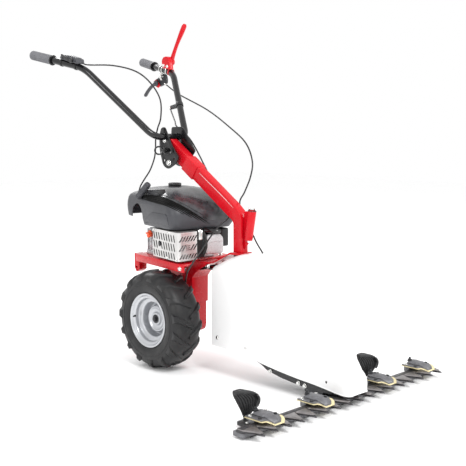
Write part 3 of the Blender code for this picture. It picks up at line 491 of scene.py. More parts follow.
def tyre_lug(side, turn):
    """One bar of the tread: from just over the crown down to the shoulder, raked backwards."""
    spine = [(-0.005, 0.161, 0.165, 0.13, 0.0062), (0.015, 0.16, 0.1648, 0.062, 0.0082),
        (0.034, 0.156, 0.1622, -0.015, 0.01), (0.05, 0.146, 0.154, -0.082, 0.0118),
        (0.0562, 0.138, 0.145, -0.108, 0.012)]
    sections = []
    for across, root, top, lag, half in spine:
        angle = turn + lag
        out = Vector((0, math.cos(angle), math.sin(angle)))
        along = Vector((0, -math.sin(angle), math.cos(angle)))
        centre = Vector((side * across, 0, 0))
        lean = Vector((side * max(0.0, across - 0.036) * 0.12, 0, 0))
        foot, head = centre + out * (root - 0.007), centre + lean + out * top
        sections.append([foot - along * half * 1.3, foot + along * half * 1.3,
            head + along * half * 0.62, head - along * half * 0.62])
    return loft(sections)


def make_wheel():
    place = Matrix.Translation(AXLE)
    shell = [(0.0832, -0.044), (0.0818, -0.0465), (0.0835, -0.0484), (0.0875, -0.0484),
        (0.0915, -0.051), (0.099, -0.0548), (0.112, -0.0572), (0.126, -0.0568), (0.139, -0.0538),
        (0.149, -0.047), (0.1555, -0.035), (0.159, -0.016)]
    shell = shell + [(r, -x) for r, x in reversed(shell)]
    inner = [(0.0838, 0.038), (0.098, 0.044), (0.125, 0.045), (0.142, 0.04), (0.15, 0.02)]
    inner = inner + [(r, -x) for r, x in reversed(inner)]
    shapes = [turned(shell + inner, axis=(1, 0, 0), steps=96, closed=True)]
    step = 2 * math.pi / LUGS
    for i in range(LUGS):
        shapes.append(tyre_lug(-1, i * step + LUG_START))
        shapes.append(tyre_lug(1, (i + 0.5) * step + LUG_START))
    for side in (-1, 1):
        shapes.append(hoop((side * 0.0522, 0, 0), (1, 0, 0), 0.0945, 0.001, 96, 8))
        shapes.append(hoop((side * 0.0572, 0, 0), (1, 0, 0), 0.12, 0.0008, 96, 8))
    make("tyre_tread", shapes, TYRE, "wheel", place, bevel=0.0016, segments=3, crease=50,
        node="tyre")

    rim = [(0.0905, -0.0535), (0.088, -0.0545), (0.0845, -0.0535), (0.082, -0.05), (0.08, -0.0475),
        (0.074, -0.0455), (0.0725, -0.042), (0.0725, -0.033), (0.07, -0.0295), (0.06, -0.028),
        (0.0575, -0.025), (0.057, 0.001), (0.055, 0.004), (0.05, 0.004), (0.044, -0.012),
        (0.0415, -0.015), (0.0385, -0.015), (0.036, -0.012), (0.029, -0.009), (0.023, -0.0095),
        (0.0215, -0.013), (0.0195, -0.0165), (0.0125, -0.0168), (0.0125, 0.0395)]
    back = [(0.024, 0.0395), (0.026, 0.006), (0.056, 0.008), (0.064, 0.02), (0.064, 0.024),
        (0.0755, 0.032), (0.0765, 0.048), (0.088, 0.0535), (0.0905, 0.052), (0.0905, 0.05),
        (0.0815, 0.048), (0.081, -0.046), (0.0905, -0.05)]
    shape = turned(rim + back, axis=(1, 0, 0), steps=72, closed=True)
    valve = swept([(-0.044, 0.0755, 0.003), (-0.047, 0.0745, 0.003), (-0.056, 0.07, 0.003)],
        [0.0042, 0.003, 0.0026], 12)
    make("rim_dish", shape, SILVER, "wheel", place, bevel=0.0007, segments=2, crease=50,
        node="wheel_rim")
    make("tyre_valve", valve, PLASTIC, "wheel", place, bevel=0.0004)
    nut = hexagon((-0.0188, 0, 0), (-1, 0, 0), 0.015, 0.0068)
    ring = turned([(0.0, -0.0168), (0.0145, -0.0168), (0.0145, -0.0186), (0.0, -0.019)],
        axis=(1, 0, 0), steps=36)
    stem = rod(0.005, 0.01, -0.0225, axis=(1, 0, 0), steps=18)
    make("hub_nut", nut + [ring, stem], DARK, "wheel", place, bevel=0.0005, node="hub_bolt")
    refined("wheel_axle", STEEL, 0.0006)


# Red frame, leg and column

LEG_SCREWS = {"67113": (-0.03, 0.113), "44113": (0.044, 0.113), "44288": (0.044, 0.288),
    "67199": (-0.03, 0.199)}


def make_frame():
    refined("leg_housing", RED, 0.003, 3)
    refined("leg_cover", RED, 0.002, 3)
    refined("axle_bearing_near", STEEL, 0.0006)
    refined("axle_bearing_far", STEEL, 0.0006)
    refined("main_frame", RED, 0.0024, 3)
    slot = prism(rounded(rectangle(0.177, 0.308, 0.188, 0.315), 0.003), -0.1, -0.05)
    hole = rod(0.0032, -0.1, -0.05, (0, 0.18, 0.302), (1, 0, 0), 20)
    refined("engine_plate", RED, 0.0022, 3, cuts=[(slot, hole)])
    for i, (x, y, z) in enumerate(((-0.0366, -0.012, 0.322), (-0.0366, -0.129, 0.3435))):
        bolt("frame_bolt_%d" % (i + 1), (x, y, z), (-1, 0, 0), 0.012, 0.0065, flange=0.0085)
        bolt("frame_bolt_%d" % (i + 3), (-x, y, z), (1, 0, 0), 0.012, 0.0065, flange=0.0085)
    bolt("plate_bolt_near", (-0.1508, -0.12, 0.346), (-1, 0.17, 0), 0.012, 0.0055, flange=0.008)
    feet = ((-0.078, 0.052), (-0.065, -0.035), (0.09, 0.12), (0.095, -0.05))
    bolts("engine_foot_bolt_", level(feet, 0.3605), (0, 0, 1), 0.011, 0.006, flange=0.009)
    for number, (y, z) in LEG_SCREWS.items():
        for side in (-1, 1):
            bolt("leg_screw_" + side_name(side)[0] + number, (side * 0.033, y, z), (side, 0, 0),
                0.008, 0.0032, flange=0.0062)


def column_point(t):
    low, high = Vector((0, -0.217, 0.531)), Vector((0, 0.07, 0.722))
    return low + (high - low) * t


SLOPE = (column_point(1) - column_point(0)).normalized()
COLUMN_UP = Vector((0, -SLOPE.z, SLOPE.y))
STRIPE_X = 0.0152


def make_column():
    refined("column", RED, 0.0032, 3)
    for side in (-1, 1):
        x, inner_x = side * STRIPE_X, side * STRIPE_X - side * 0.0006
        line = [column_point(t) + COLUMN_UP * (0.0135 + 0.0012 * math.sin(9 * t))
            for t in (0.0, 0.15, 0.3, 0.45, 0.56)]
        band = []
        for p, w in zip(line, (0.0002, 0.0008, 0.0008, 0.0008, 0.0002)):
            band.append([p + COLUMN_UP * w * s + Vector((at, 0, 0)) for s, at in ((1, x), (-1, x),
                (-1, inner_x), (1, inner_x))])
        make("pinstripe_" + side_name(side), loft(band), STRIPE)
    head = [[column_point(t) + COLUMN_UP * (s * 0.0235) + Vector((x, 0, 0))
        for x, s in ((-0.015, -1), (0.015, -1), (0.015, 1), (-0.015, 1))] for t in (0.99, 1.09)]
    make("column_head", loft(head), RED, bevel=0.0022, segments=3)
    refined("socket_tube", RED, 0.0008, 2)
    lean = (0, -0.18, 1)
    top = Vector(lean).normalized() * 0.095 + Vector((0, -0.279, 0.442))
    for i, (x, y) in enumerate(((0.0105, 0.0), (-0.003, 0.0105))):
        bolt("clamp_screw_%d" % (i + 1), top + Vector((x, y, 0.0005)), lean, 0.0052, 0.0105)
    make("socket_lip", hoop(top, lean, 0.012, 0.0016), PLASTIC)


# Engine, in its own axes

SHROUD_ROWS = [(0.106, 0.117, -0.14, 0.17), (0.11, 0.119, -0.143, 0.174),
    (0.128, 0.124, -0.157, 0.192), (0.15, 0.1255, -0.159, 0.197), (0.166, 0.126, -0.156, 0.1985),
    (0.18, 0.125, -0.144, 0.198), (0.195, 0.122, -0.128, 0.1965), (0.205, 0.117, -0.108, 0.192),
    (0.211, 0.109, -0.094, 0.183), (0.216, 0.102, -0.08, 0.166), (0.224, 0.089, -0.056, 0.143),
    (0.23, 0.074, -0.032, 0.115), (0.234, 0.056, -0.012, 0.09), (0.2352, 0.038, 0.006, 0.074)]


def soft_box(half_x, front, rear, z, corner=0.04, steps=8, inset=0.0):
    half_y = (rear - front) / 2 - inset
    y = (rear + front) / 2
    half_x -= inset
    corner = min(corner, half_x * 0.8, half_y * 0.8)
    corners = rectangle(-half_x, y - half_y, half_x, y + half_y)
    return [(a, b, z) for a, b in rounded(corners, corner, steps)]


def shroud_row(z):
    """Half width, front and rear of the shroud's outside at one height."""
    for a, b in zip(SHROUD_ROWS, SHROUD_ROWS[1:]):
        if a[0] <= z <= b[0]:
            t = (z - a[0]) / (b[0] - a[0])
            return tuple(p + (q - p) * t for p, q in zip(a[1:], b[1:]))
    return (SHROUD_ROWS[0] if z < SHROUD_ROWS[0][0] else SHROUD_ROWS[-1])[1:]


def side_x(y, z, stand=0.0):
    """Outer X of the shroud's near wall at a place on it, corners included."""
    half, front, rear = shroud_row(z)
    corner = 0.04
    reach = min(1.0, max(0.0, corner - min(y - front, rear - y)) / corner)
    return -(half - corner * 0.62 * reach ** 2.2 + stand)


def wall_panel(outline, depth, stand):
    """Raised panel that follows the near wall: outline points are (y, z)."""
    outer = [(side_x(y, z, stand), y, z) for y, z in outline]
    inner = [(side_x(y, z, -depth), y, z) for y, z in outline]
    return loft([inner, outer])


def make_shroud():
    outer = [soft_box(w, front, rear, z) for z, w, front, rear in SHROUD_ROWS]
    inner = [soft_box(w, front, rear, z - (0.0028 if z > 0.107 else 0.006), inset=0.0028)
        for z, w, front, rear in SHROUD_ROWS]
    arch = [(0.057, 0.09), (0.057, 0.138), (0.065, 0.163), (0.083, 0.177), (0.108, 0.177),
        (0.128, 0.163), (0.137, 0.138), (0.137, 0.09)]
    step = [(0.12, 0.09), (0.124, 0.129), (0.21, 0.134), (0.21, 0.09)]
    on_engine("shroud_shell", loft(outer), SHELL, bevel=0.0012, over=50,
        cuts=[[loft(inner)], [prism(rounded(arch, 0.006), -0.135, -0.08)],
        [prism(step, -0.135, 0.135)]], node="shroud")

    panel = rounded([(-0.13, 0.118), (0.03, 0.118), (0.04, 0.127), (-0.015, 0.156), (-0.12, 0.156)],
        0.01)
    on_engine("shroud_side_panel", wall_panel(panel, 0.002, 0.0022), SHELL, bevel=0.001)
    lip = rectangle(-0.136, 0.112, 0.045, 0.1155)
    on_engine("shroud_lower_lip", wall_panel(lip, 0.002, 0.002), SHELL, bevel=0.0006)

    make_dome()

    rope_guide = turned([(0.0, -0.045), (0.011, -0.045), (0.011, -0.018), (0.0096, -0.016),
        (0.0046, -0.016), (0.004, -0.0185), (0, -0.0185)], STARTER_AT, STARTER_PULL, 28)
    rings = [turned([(0.0106, d), (0.0125, d + 0.0006), (0.0125, d + 0.0022), (0.0106, d + 0.0028)],
        STARTER_AT, STARTER_PULL, 28, closed=True) for d in (-0.04, -0.0345, -0.029, -0.0235)]
    on_engine("rope_guide", [rope_guide] + rings, GLOSSY, bevel=0.0004)
    holder = [(0.07, 0.198), (-0.042, 0.212), (-0.036, 0.232), (0.052, 0.225)]
    on_engine("starter_recess", prism(rounded(holder, 0.006), -0.112, -0.085), PLASTIC, bevel=0.002,
        segments=3)
    bars = []
    for k in range(4):
        rise = 0.003 + 0.0058 * k
        bars.append(swept([(-0.1122, 0.06 - 0.003 * k, 0.1998 + rise),
            (-0.1122, -0.036, 0.2118 + rise * 0.95)], 0.0013, 10))
    on_engine("recess_ribs", bars, SHELL)


def above_band(x, y, z):
    """Height over the slanting plane that parts the grey housing from the black cover."""
    return z - (0.219 - 0.62 * (x + 0.115) + 0.06 * (y - 0.04))


def shell_ring(z, stand, count=120):
    """Evenly spaced points round the shroud's outside at one height."""
    half, front, rear = shroud_row(z)
    loop = [Vector(p) for p in soft_box(half + stand, front - stand, rear + stand, z)]
    ends = list(zip(loop, loop[1:] + loop[:1]))
    total = sum((b - a).length for a, b in ends)
    out, run, i = [], 0.0, 0
    for k in range(count):
        want = total * k / count
        while run + (ends[i][1] - ends[i][0]).length < want:
            run += (ends[i][1] - ends[i][0]).length
            i += 1
        a, b = ends[i]
        out.append(a + (b - a) * ((want - run) / max(1e-9, (b - a).length)))
    return out


def band_line(offset, stand):
    """Where the shroud's outside meets the slanting plane, from the rear round the near side."""
    heights = [0.112 + 0.123 * k / 82 for k in range(83)]
    columns = list(zip(*[shell_ring(z, stand) for z in heights]))
    found = []
    for column in columns:
        for a, b in zip(column, column[1:]):
            fa, fb = above_band(*a) - offset, above_band(*b) - offset
            if fa < 0 <= fb:
                found.append(a + (b - a) * (fa / (fa - fb)))
                break
    line = [p for p in found if p.x < 0.02 and p.y < 0.13]
    line.sort(key=lambda p: math.atan2(p.x - 0.05, -(p.y - 0.05)))
    return line


def make_dome():
    """Black gloss cover over the top and front, with the louvred band along its edge."""
    rows = [0.133, 0.14, 0.15, 0.16, 0.17, 0.18, 0.19, 0.2, 0.208, 0.216, 0.222, 0.227, 0.231,
        0.2335, 0.235]
    hull = loft([[tuple(p) for p in shell_ring(z, 0.0022)] for z in rows])
    corners = [(x, y, -above_band(x, y, 0.0)) for x, y in rectangle(-0.2, -0.25, 0.2, 0.3)]
    below = loft([[(x, y, z - 0.3) for x, y, z in corners], corners])
    rear = block((-0.2, 0.118, 0.05), (0.2, 0.3, 0.3))
    core = loft([[tuple(p) for p in shell_ring(z, -0.003)] for z in [0.12] + rows[:-1]]
        + [[(p.x, p.y, 0.2325) for p in shell_ring(0.2335, -0.003)]])
    on_engine("shroud_cover", hull, COVER, bevel=0.0009, over=50, crease=30,
        cuts=[[below], [rear], [core]])
    ribs = []
    for k in range(5):
        line = band_line(-0.0045 - 0.0062 * k, 0.0008)
        line = line[k:len(line) - 2 * k]
        if len(line) > 4:
            taper = [0.0007 + 0.0021 * min(1.0, 0.12 * min(i, len(line) - 1 - i))
                for i in range(len(line))]
            ribs.append(swept(line, taper, 8))
    on_engine("shroud_louvres", ribs, LOUVRE)
    crest = band_line(0.008, 0.0026)
    on_engine("cover_seam", swept(crest, 0.0011, 8), PLASTIC)


STARTER_AT = (-0.124, 0.052, 0.223)
STARTER_PULL = (-0.825, 0.232, 0.516)
STARTER_BAR = (-0.241, 0.683, -0.69)


def make_starter():
    middle, along = Vector(STARTER_AT), Vector(STARTER_BAR).normalized()
    pull = Vector(STARTER_PULL).normalized()
    steps = [(-0.037, 0.008), (-0.035, 0.0104), (-0.02, 0.0114), (-0.006, 0.0106), (0.006, 0.0106),
        (0.02, 0.0114), (0.035, 0.0104), (0.037, 0.008)]
    bar = swept([middle + along * s for s, _ in steps], [r for _, r in steps], 24, squeeze=0.86,
        up=pull)
    ribs = []
    for k in range(9):
        s = -0.0288 + 0.0072 * k
        ribs.append(swept([middle + along * (s - 0.0009), middle + along * (s + 0.0009)], 0.0118,
            24, squeeze=0.86, up=pull))
    neck = turned([(0.0, -0.009), (0.0036, -0.009), (0.005, -0.005), (0.006, 0.0), (0, 0)], middle,
        pull, 20)
    on_engine("starter_grip", [bar] + ribs + [neck], SHELL, "starter", bevel=0.0006,
        node="starter_handle")
    path = [tuple(ENGINE @ (middle + pull * s)) for s in (-0.0185, -0.0165, -0.015, -0.0135, -0.012,
        -0.0105, -0.0086)]
    rope = make("starter_cord", swept(path, 0.0022, 12), PLASTIC, None, Matrix.Identity(4),
        node="starter_rope")
    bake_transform(rope)


def make_caps():
    middle = Vector((-0.006, 0.042, 0.2353))
    knurl = turned([(0, 0.0), (0.017, 0.0), (0.0218, 0.0012), (0.0228, 0.003), (0.0228, 0.0088),
        (0.0215, 0.0112), (0.0185, 0.012), (0.0165, 0.0112), (0.0, 0.0112)], middle, (0, 0, 1), 96,
        wave=lambda a: 1.0 - 0.028 * (0.5 + 0.5 * math.cos(24 * a)))
    bar = block((-0.02, 0.0395, 0.2463), (0.008, 0.0445, 0.2473))
    on_engine("fuel_cap_knob", [knurl, bar], PLASTIC, "fuel_filler_cap", bevel=0.0006, crease=45,
        node="fuel_cap")
    at, axis = Vector((-0.089, 0.06, 0.07)), Vector((-1, 0, 0.35)).normalized()
    stem = turned([(0, 0.0), (0.008, 0.0), (0.008, 0.0062), (0.0125, 0.0066), (0.0135, 0.008),
        (0.013, 0.012), (0.01, 0.013), (0, 0.0132)], at, axis, 30)
    across = axis.cross(Vector((0, 0, 1))).normalized()
    top = at + axis * 0.0125
    wing = loft([[top + across * s * 0.0143 + axis * 0.0055 * k + axis.cross(across) * w * t
        for s, t in ((-1, 0.5), (-0.3, 1), (0.3, 1), (1, 0.5), (1, -0.5), (0.3, -1), (-0.3, -1),
        (-1, -0.5))] for k, w in ((0.0, 0.0052), (0.6, 0.0042), (1.0, 0.0026))])
    on_engine("oil_cap_wing", [stem, wing], ORANGE, "oil_filler_cap", bevel=0.0009, crease=40,
        node="oil_cap")


def slot_cutter(y, z, lean, length, width, x=(-0.125, -0.112)):
    """Leaning slot with round ends for the guard's near face."""
    ends = []
    for end in (-1, 1):
        for k in range(7):
            a = math.pi * k / 6
            local = (width / 2 * math.cos(a) * end, end * (length / 2 + width / 2 * math.sin(a)))
            ends.append((y + local[0] + local[1] * lean, z + local[1]))
    return prism(ends, *x)


def make_guard():
    """Perforated sheet shield round the muffler."""
    box = rounded([(-0.118, -0.182), (-0.036, -0.164), (-0.03, -0.092), (-0.086, -0.092),
        (-0.086, -0.002), (-0.118, -0.002)], [0.013, 0.004, 0.002, 0.002, 0.004, 0.009], 6)
    hollow = rounded([(-0.1168, -0.1804), (-0.024, -0.16), (-0.024, -0.086), (-0.078, -0.086),
        (-0.078, -0.0032), (-0.1168, -0.0032)], [0.012, 0.004, 0.002, 0.002, 0.004, 0.008], 6)
    near, rows = [], ((0.0795, 0.021), (0.0505, 0.022), (0.022, 0.018))
    for row, (z, length) in enumerate(rows):
        for k in range(9):
            y = -0.017 - 0.0172 * k
            if row == 1 and k == 2:
                continue
            near.append(slot_cutter(y, z, 0.34, length - 0.004, 0.0076))
    outlet = rod(0.01, -0.125, -0.112, (0, -0.0547, 0.0541), (1, 0, 0), 28)
    front = []
    for row, (z, length) in enumerate(rows):
        for k in range(6):
            x = -0.1045 + 0.0118 * k
            if row == 1 and k in (2, 3):
                continue
            shape = slot_cutter(x, z, 0.75, length - 0.008, 0.0062, (-0.19, -0.153))
            front.append(([(b, a, c) for a, b, c in shape[0]], shape[1]))
    for i in range(3):
        for j in range(3):
            front.append(rod(0.0021, -0.19, -0.153, (-0.075 + (i - 1) * 0.0062, 0,
                0.05 + (j - 1) * 0.0062), (0, 1, 0), 12))
    on_engine("muffler_shield", prism(box, 0.008, 0.101, "Z"), GUARD,
        cuts=[[prism(hollow, 0.0092, 0.0998, "Z")], near, [outlet], front], crease=30,
        node="muffler_guard")
    screws = ((-0.12, 0.0965), (-0.1061, 0.012), (-0.012, 0.0965), (-0.17, 0.012))
    bolts("guard_screw_", [(-0.118, y, z) for y, z in screws], (-1, 0, 0), 0.0076, 0.0034,
        place=ENGINE, flange=0.0058)
    stud = turned([(0, 0), (0.0062, 0), (0.0062, 0.006), (0.0048, 0.0075), (0, 0.0075)],
        (-0.1121, -0.0547, 0.0541), (-1, 0, 0), 24)
    on_engine("exhaust_stub", stud, DARK, bevel=0.0005)
    refined("muffler", DARK, 0.0025, 3)


def make_casting():
    """Crankcase with sump flange, fins, oil neck and the speckled box beside the intake."""
    case = rounded(rectangle(-0.085, -0.09, 0.085, 0.11), 0.03, 8)
    flange = rounded(rectangle(-0.09, -0.08, 0.085, 0.115), 0.026, 8)
    shapes = [prism([(x * 0.985, y * 0.985) for x, y in case], 0.0004, 0.09, "Z"),
        prism(flange, 0.0006, 0.0105, "Z"), prism([(x * 0.995, y) for x, y in case], 0.036, 0.042,
        "Z")]
    for k in range(7):
        y = 0.096 - 0.0225 * k
        shapes.append(block((-0.0868, y - 0.0015, 0.009), (-0.08, y + 0.0015, 0.088)))
    for sx in (-1, 1):
        for y in (-0.06, 0.005, 0.07, 0.1):
            shapes.append(turned([(0, 0.0006), (0.0075, 0.0006), (0.0066, 0.015), (0, 0.015)],
                (sx * 0.08, y, 0), (0, 0, 1), 20))
    hole = rod(0.016, -0.01, 0.1, steps=32)
    on_engine("crankcase_casting", shapes[0], ALUMINIUM, bevel=0.0022, segments=3, cuts=[[hole]],
        node="crankcase")
    on_engine("crankcase_ribs", shapes[1:], ALUMINIUM, bevel=0.0008)
    neck = turned([(0, -0.03), (0.0135, -0.03), (0.012, -0.003), (0.0128, -0.0004), (0, -0.0004)],
        (-0.089, 0.06, 0.07), (-1, 0, 0.35), 30)
    on_engine("oil_neck", neck, ALUMINIUM, bevel=0.0006)

    levels = ((0.018, 0.009, -0.148, 0.073), (0.03, 0.006, -0.15, 0.075),
        (0.07, 0.007, -0.1495, 0.074), (0.085, 0.016, -0.144, 0.066))
    box = loft([level(rectangle(x, front, x_far, -0.085), z) for z, x, front, x_far in levels])
    on_engine("cylinder_shield", box, SPECKLED, bevel=0.006, segments=4)
    brow = block((0.011, -0.1508, 0.059), (0.07, -0.148, 0.0625))
    on_engine("shield_bead", brow, SPECKLED, bevel=0.0012)

    elbow = rounded(rectangle(-0.028, -0.145, 0.004, -0.0905), 0.006, 5)
    on_engine("intake_box", prism(elbow, 0.01, 0.096, "Z"), PLASTIC, bevel=0.0015, segments=3,
        node="air_intake")
    barrel = turned([(0, 0.07), (0.0085, 0.07), (0.0098, 0.072), (0.0098, 0.101), (0.008, 0.104),
        (0, 0.104)], (-0.0185, -0.149, 0), (0, 0, 1), 32)
    on_engine("coil_can", barrel, CHROME, bevel=0.0005)
    duct = [(0.0, -0.14, 0.102), (0.02, -0.143, 0.099), (0.044, -0.142, 0.096),
        (0.065, -0.135, 0.094)]
    on_engine("intake_duct", swept(smooth(duct), 0.01, 20, squeeze=0.8), GLOSSY)
    hose = [(-0.005, -0.15, 0.02), (0.002, -0.156, 0.045), (0.0, -0.156, 0.075),
        (-0.008, -0.15, 0.098)]
    on_engine("breather_hose", swept(smooth(hose), 0.0042, 14), BELT)
    tail = [(0.085, -0.105, 0.098), (0.098, -0.118, 0.076), (0.096, -0.11, 0.045),
        (0.085, -0.095, 0.02)]
    on_engine("plug_lead", swept(smooth(tail), 0.0038, 14), BELT)
    on_engine("carburettor_cover", block((0.077, -0.128, 0.038), (0.108, -0.06, 0.1)), PLASTIC,
        bevel=0.006, segments=4)
    boot = turned([(0, 0), (0.008, 0), (0.0095, 0.008), (0.007, 0.024), (0.0045, 0.026),
        (0, 0.026)], (0.085, -0.1, 0.098), (0.5, -0.5, -0.8), 24)
    on_engine("plug_boot", boot, PLASTIC, bevel=0.0006)


def make_drive():
    for node, finish, bevel in (("crankshaft", STEEL, 0.0005), ("cutter_belt", BELT, 0.0004),
            ("cutter_pulley", STEEL, 0.0006), ("cutter_shaft", STEEL, 0.0005),
            ("shaft_housing", RED, 0.002), ("rocker_lever", DARK, 0.0016),
            ("worm_wheel", BRONZE, 0.0003), ("worm_shaft", STEEL, 0.0003)):
        refined(node, finish, bevel)


# Handlebar, adjuster and controls

HAND_END = Vector((0.2492, 0.556, 1.053))
HAND_BEND = Vector((0.201, 0.318, 1.0))
TILT = Vector((0.0, 0.1, 0.765))
TUBE = 0.0115


def mirror(point, sign):
    return Vector((sign * point[0], point[1], point[2]))


def make_tube():
    side = [HAND_END, HAND_BEND, Vector((0.072, TILT.y, TILT.z))]
    corners = [tuple(p) for p in side] + [tuple(mirror(p, -1)) for p in side[::-1]]
    make("handlebar_tube", swept(bent(corners, 0.036, 12), TUBE, 24), BLACK, "handlebar_body",
        node="handlebar", crease=60)


def make_grips():
    length = 0.107
    for label, sign in (("near", -1), ("far", 1)):
        tip, bend = mirror(HAND_END, sign), mirror(HAND_BEND, sign)
        inward = (bend - tip).normalized()
        start = tip - inward * 0.008
        sleeve = [(0, 0.0), (0.012, 0.0), (0.015, 0.0012), (0.0163, 0.0036)]
        for k in range(15):
            s = 0.007 + 0.006 * k
            sleeve += [(0.0165, s), (0.014, s + 0.001), (0.014, s + 0.0026), (0.0165, s + 0.0036)]
        sleeve += [(0.0163, length - 0.0075), (0.016, length - 0.0064), (0.0122, length - 0.005),
            (0.0122, 0.006), (0, 0.006)]
        ridges = turned(sleeve, start, inward, 48, wave=lambda a: 1 + 0.012 * math.cos(12 * a))
        make("grip_sleeve_" + label, ridges, GRIP, "handlebar_body", bevel=0.0004, segments=1,
            crease=50, node="grip_" + label)
        collar = [(0.0122, length - 0.0058), (0.0176, length - 0.0058), (0.0186, length - 0.0045),
            (0.0186, length - 0.0014), (0.0176, length), (0.0122, length)]
        make("grip_collar_" + label, turned(collar, start, inward, 40, closed=True), GLOSSY,
            "handlebar_body", bevel=0.0004)


def clamp_ring(name, centre, along, radius, width, finish, body="handlebar_body"):
    band = [(TUBE + 0.0002, -width / 2), (radius, -width / 2), (radius + 0.0004, 0),
        (radius, width / 2), (TUBE + 0.0002, width / 2)]
    make(name, turned(band, centre, along, 36, closed=True), finish, body, bevel=0.0004,
        slot="dark_steel")


def arm_point(t, sign):
    """Point on the sloping arm between the bend above (t = 0) and the foot below (t = 1)."""
    low = Vector((0.072, TILT.y, TILT.z))
    return mirror(HAND_BEND + (low - HAND_BEND) * t, sign)


def make_throttle():
    body = "handlebar_body"
    box = rounded([(0.312, 1.012), (0.416, 1.0345), (0.414, 1.045), (0.37, 1.041), (0.315, 1.029)],
        [0.004, 0.008, 0.008, 0.012, 0.005], 5)
    make("throttle_housing", prism(box, -0.2325, -0.2015), SHELL, body, bevel=0.0024, segments=3,
        node="throttle_box")
    lid = rounded([(0.322, 1.029), (0.37, 1.04), (0.406, 1.044), (0.402, 1.0475), (0.368, 1.044),
        (0.322, 1.033)], 0.002, 3)
    make("throttle_lid", prism(lid, -0.228, -0.206), SHELL, body, bevel=0.0008)
    inward = (mirror(HAND_END, -1) - mirror(HAND_BEND, -1)).normalized()
    for i, t in enumerate((0.018, 0.088)):
        spot = mirror(HAND_BEND, -1) + inward * (t + 0.016)
        clamp_ring("throttle_clamp_%d" % (i + 1), spot, inward, 0.0132, 0.0095, PLASTIC)
    bolts("throttle_screw_", ((-0.2325, 0.324, 1.022), (-0.2325, 0.398, 1.037)), (-1, 0, 0), 0.0052,
        0.0022, body=body, finish=DARK)
    at = Vector((-0.2356, 0.342, 1.025))
    hub = turned([(0, -0.0022), (0.007, -0.0022), (0.0086, -0.0014), (0.0086, 0.0012),
        (0.0076, 0.002), (0, 0.002)], at, (1, 0, 0), 32)
    thumb = rounded([(0.344, 1.016), (0.344, 1.027), (0.36, 1.033), (0.38, 1.042), (0.4, 1.0515),
        (0.404, 1.0455), (0.39, 1.038), (0.366, 1.026)], 0.0035, 5)
    make("throttle_thumb", [hub, prism(thumb, -0.2375, -0.2335)], GLOSSY, "throttle_hand_lever",
        bevel=0.001, segments=3, node="throttle_lever")


def make_clutch():
    body = "handlebar_body"
    shape = rounded([(0.321, 1.012), (0.362, 1.02), (0.368, 1.048), (0.356, 1.062), (0.334, 1.0625),
        (0.325, 1.042)], [0.003, 0.003, 0.01, 0.012, 0.012, 0.006], 5)
    make("clutch_mount", prism(shape, 0.186, 0.206), RED, body, bevel=0.0016, segments=3,
        node="clutch_bracket")
    inward = (mirror(HAND_END, 1) - mirror(HAND_BEND, 1)).normalized()
    for i, t in enumerate((0.01, 0.03)):
        clamp_ring("clutch_clamp_%d" % (i + 1), HAND_BEND + inward * (t + 0.008), inward, 0.0138,
            0.008, CHROME if i else RED)
    bolts("clutch_screw_", ((0.186, 0.335, 1.025), (0.186, 0.356, 1.029)), (-1, 0, 0), 0.0084,
        0.004, body=body, flange=0.0062)
    hub = Vector((0.2145, 0.344, 1.043))
    path = smooth([hub, hub + Vector((0, -0.015, 0.03)), (0.2145, 0.308, 1.11),
        (0.2145, 0.286, 1.143), (0.2145, 0.264, 1.176)], 5)
    radii = [0.0078 - 0.002 * math.sin(math.pi * min(1.0, k / (len(path) * 0.75)))
        for k in range(len(path))]
    for k in range(1, 6):
        radii[-k] = max(radii[-k], 0.0082 - 0.0002 * k)
    radii[-1] = 0.0052
    arm = swept(path, [r * 1.22 for r in radii], 20, squeeze=0.95, up=(1, 0, 0))
    disc = turned([(0, -0.004), (0.0105, -0.004), (0.0128, -0.0026), (0.013, 0.006),
        (0.0115, 0.0086), (0.007, 0.01), (0, 0.01)], hub, (1, 0, 0), 36)
    lobe = turned([(0, -0.0036), (0.0062, -0.0036), (0.0072, -0.002), (0.0072, 0.005),
        (0.006, 0.006), (0, 0.006)], hub + Vector((0, 0.012, 0.011)), (1, 0, 0), 28)
    web = prism([(0.344, 1.034), (0.36, 1.048), (0.354, 1.06), (0.336, 1.054)], 0.211, 0.22)
    make("clutch_arm", [arm, disc, lobe, web], RED, "clutch_hand_lever", bevel=0.0009, segments=2,
        crease=45, node="clutch_lever")
    bolt("clutch_pivot", hub + Vector((-0.004, 0, 0)), (-1, 0, 0), 0.01, 0.0042,
        "clutch_hand_lever", flange=0.0074)
    bolt("clutch_pin", hub + Vector((-0.0036, 0.012, 0.011)), (-1, 0, 0), 0.006, 0.003,
        "clutch_hand_lever")


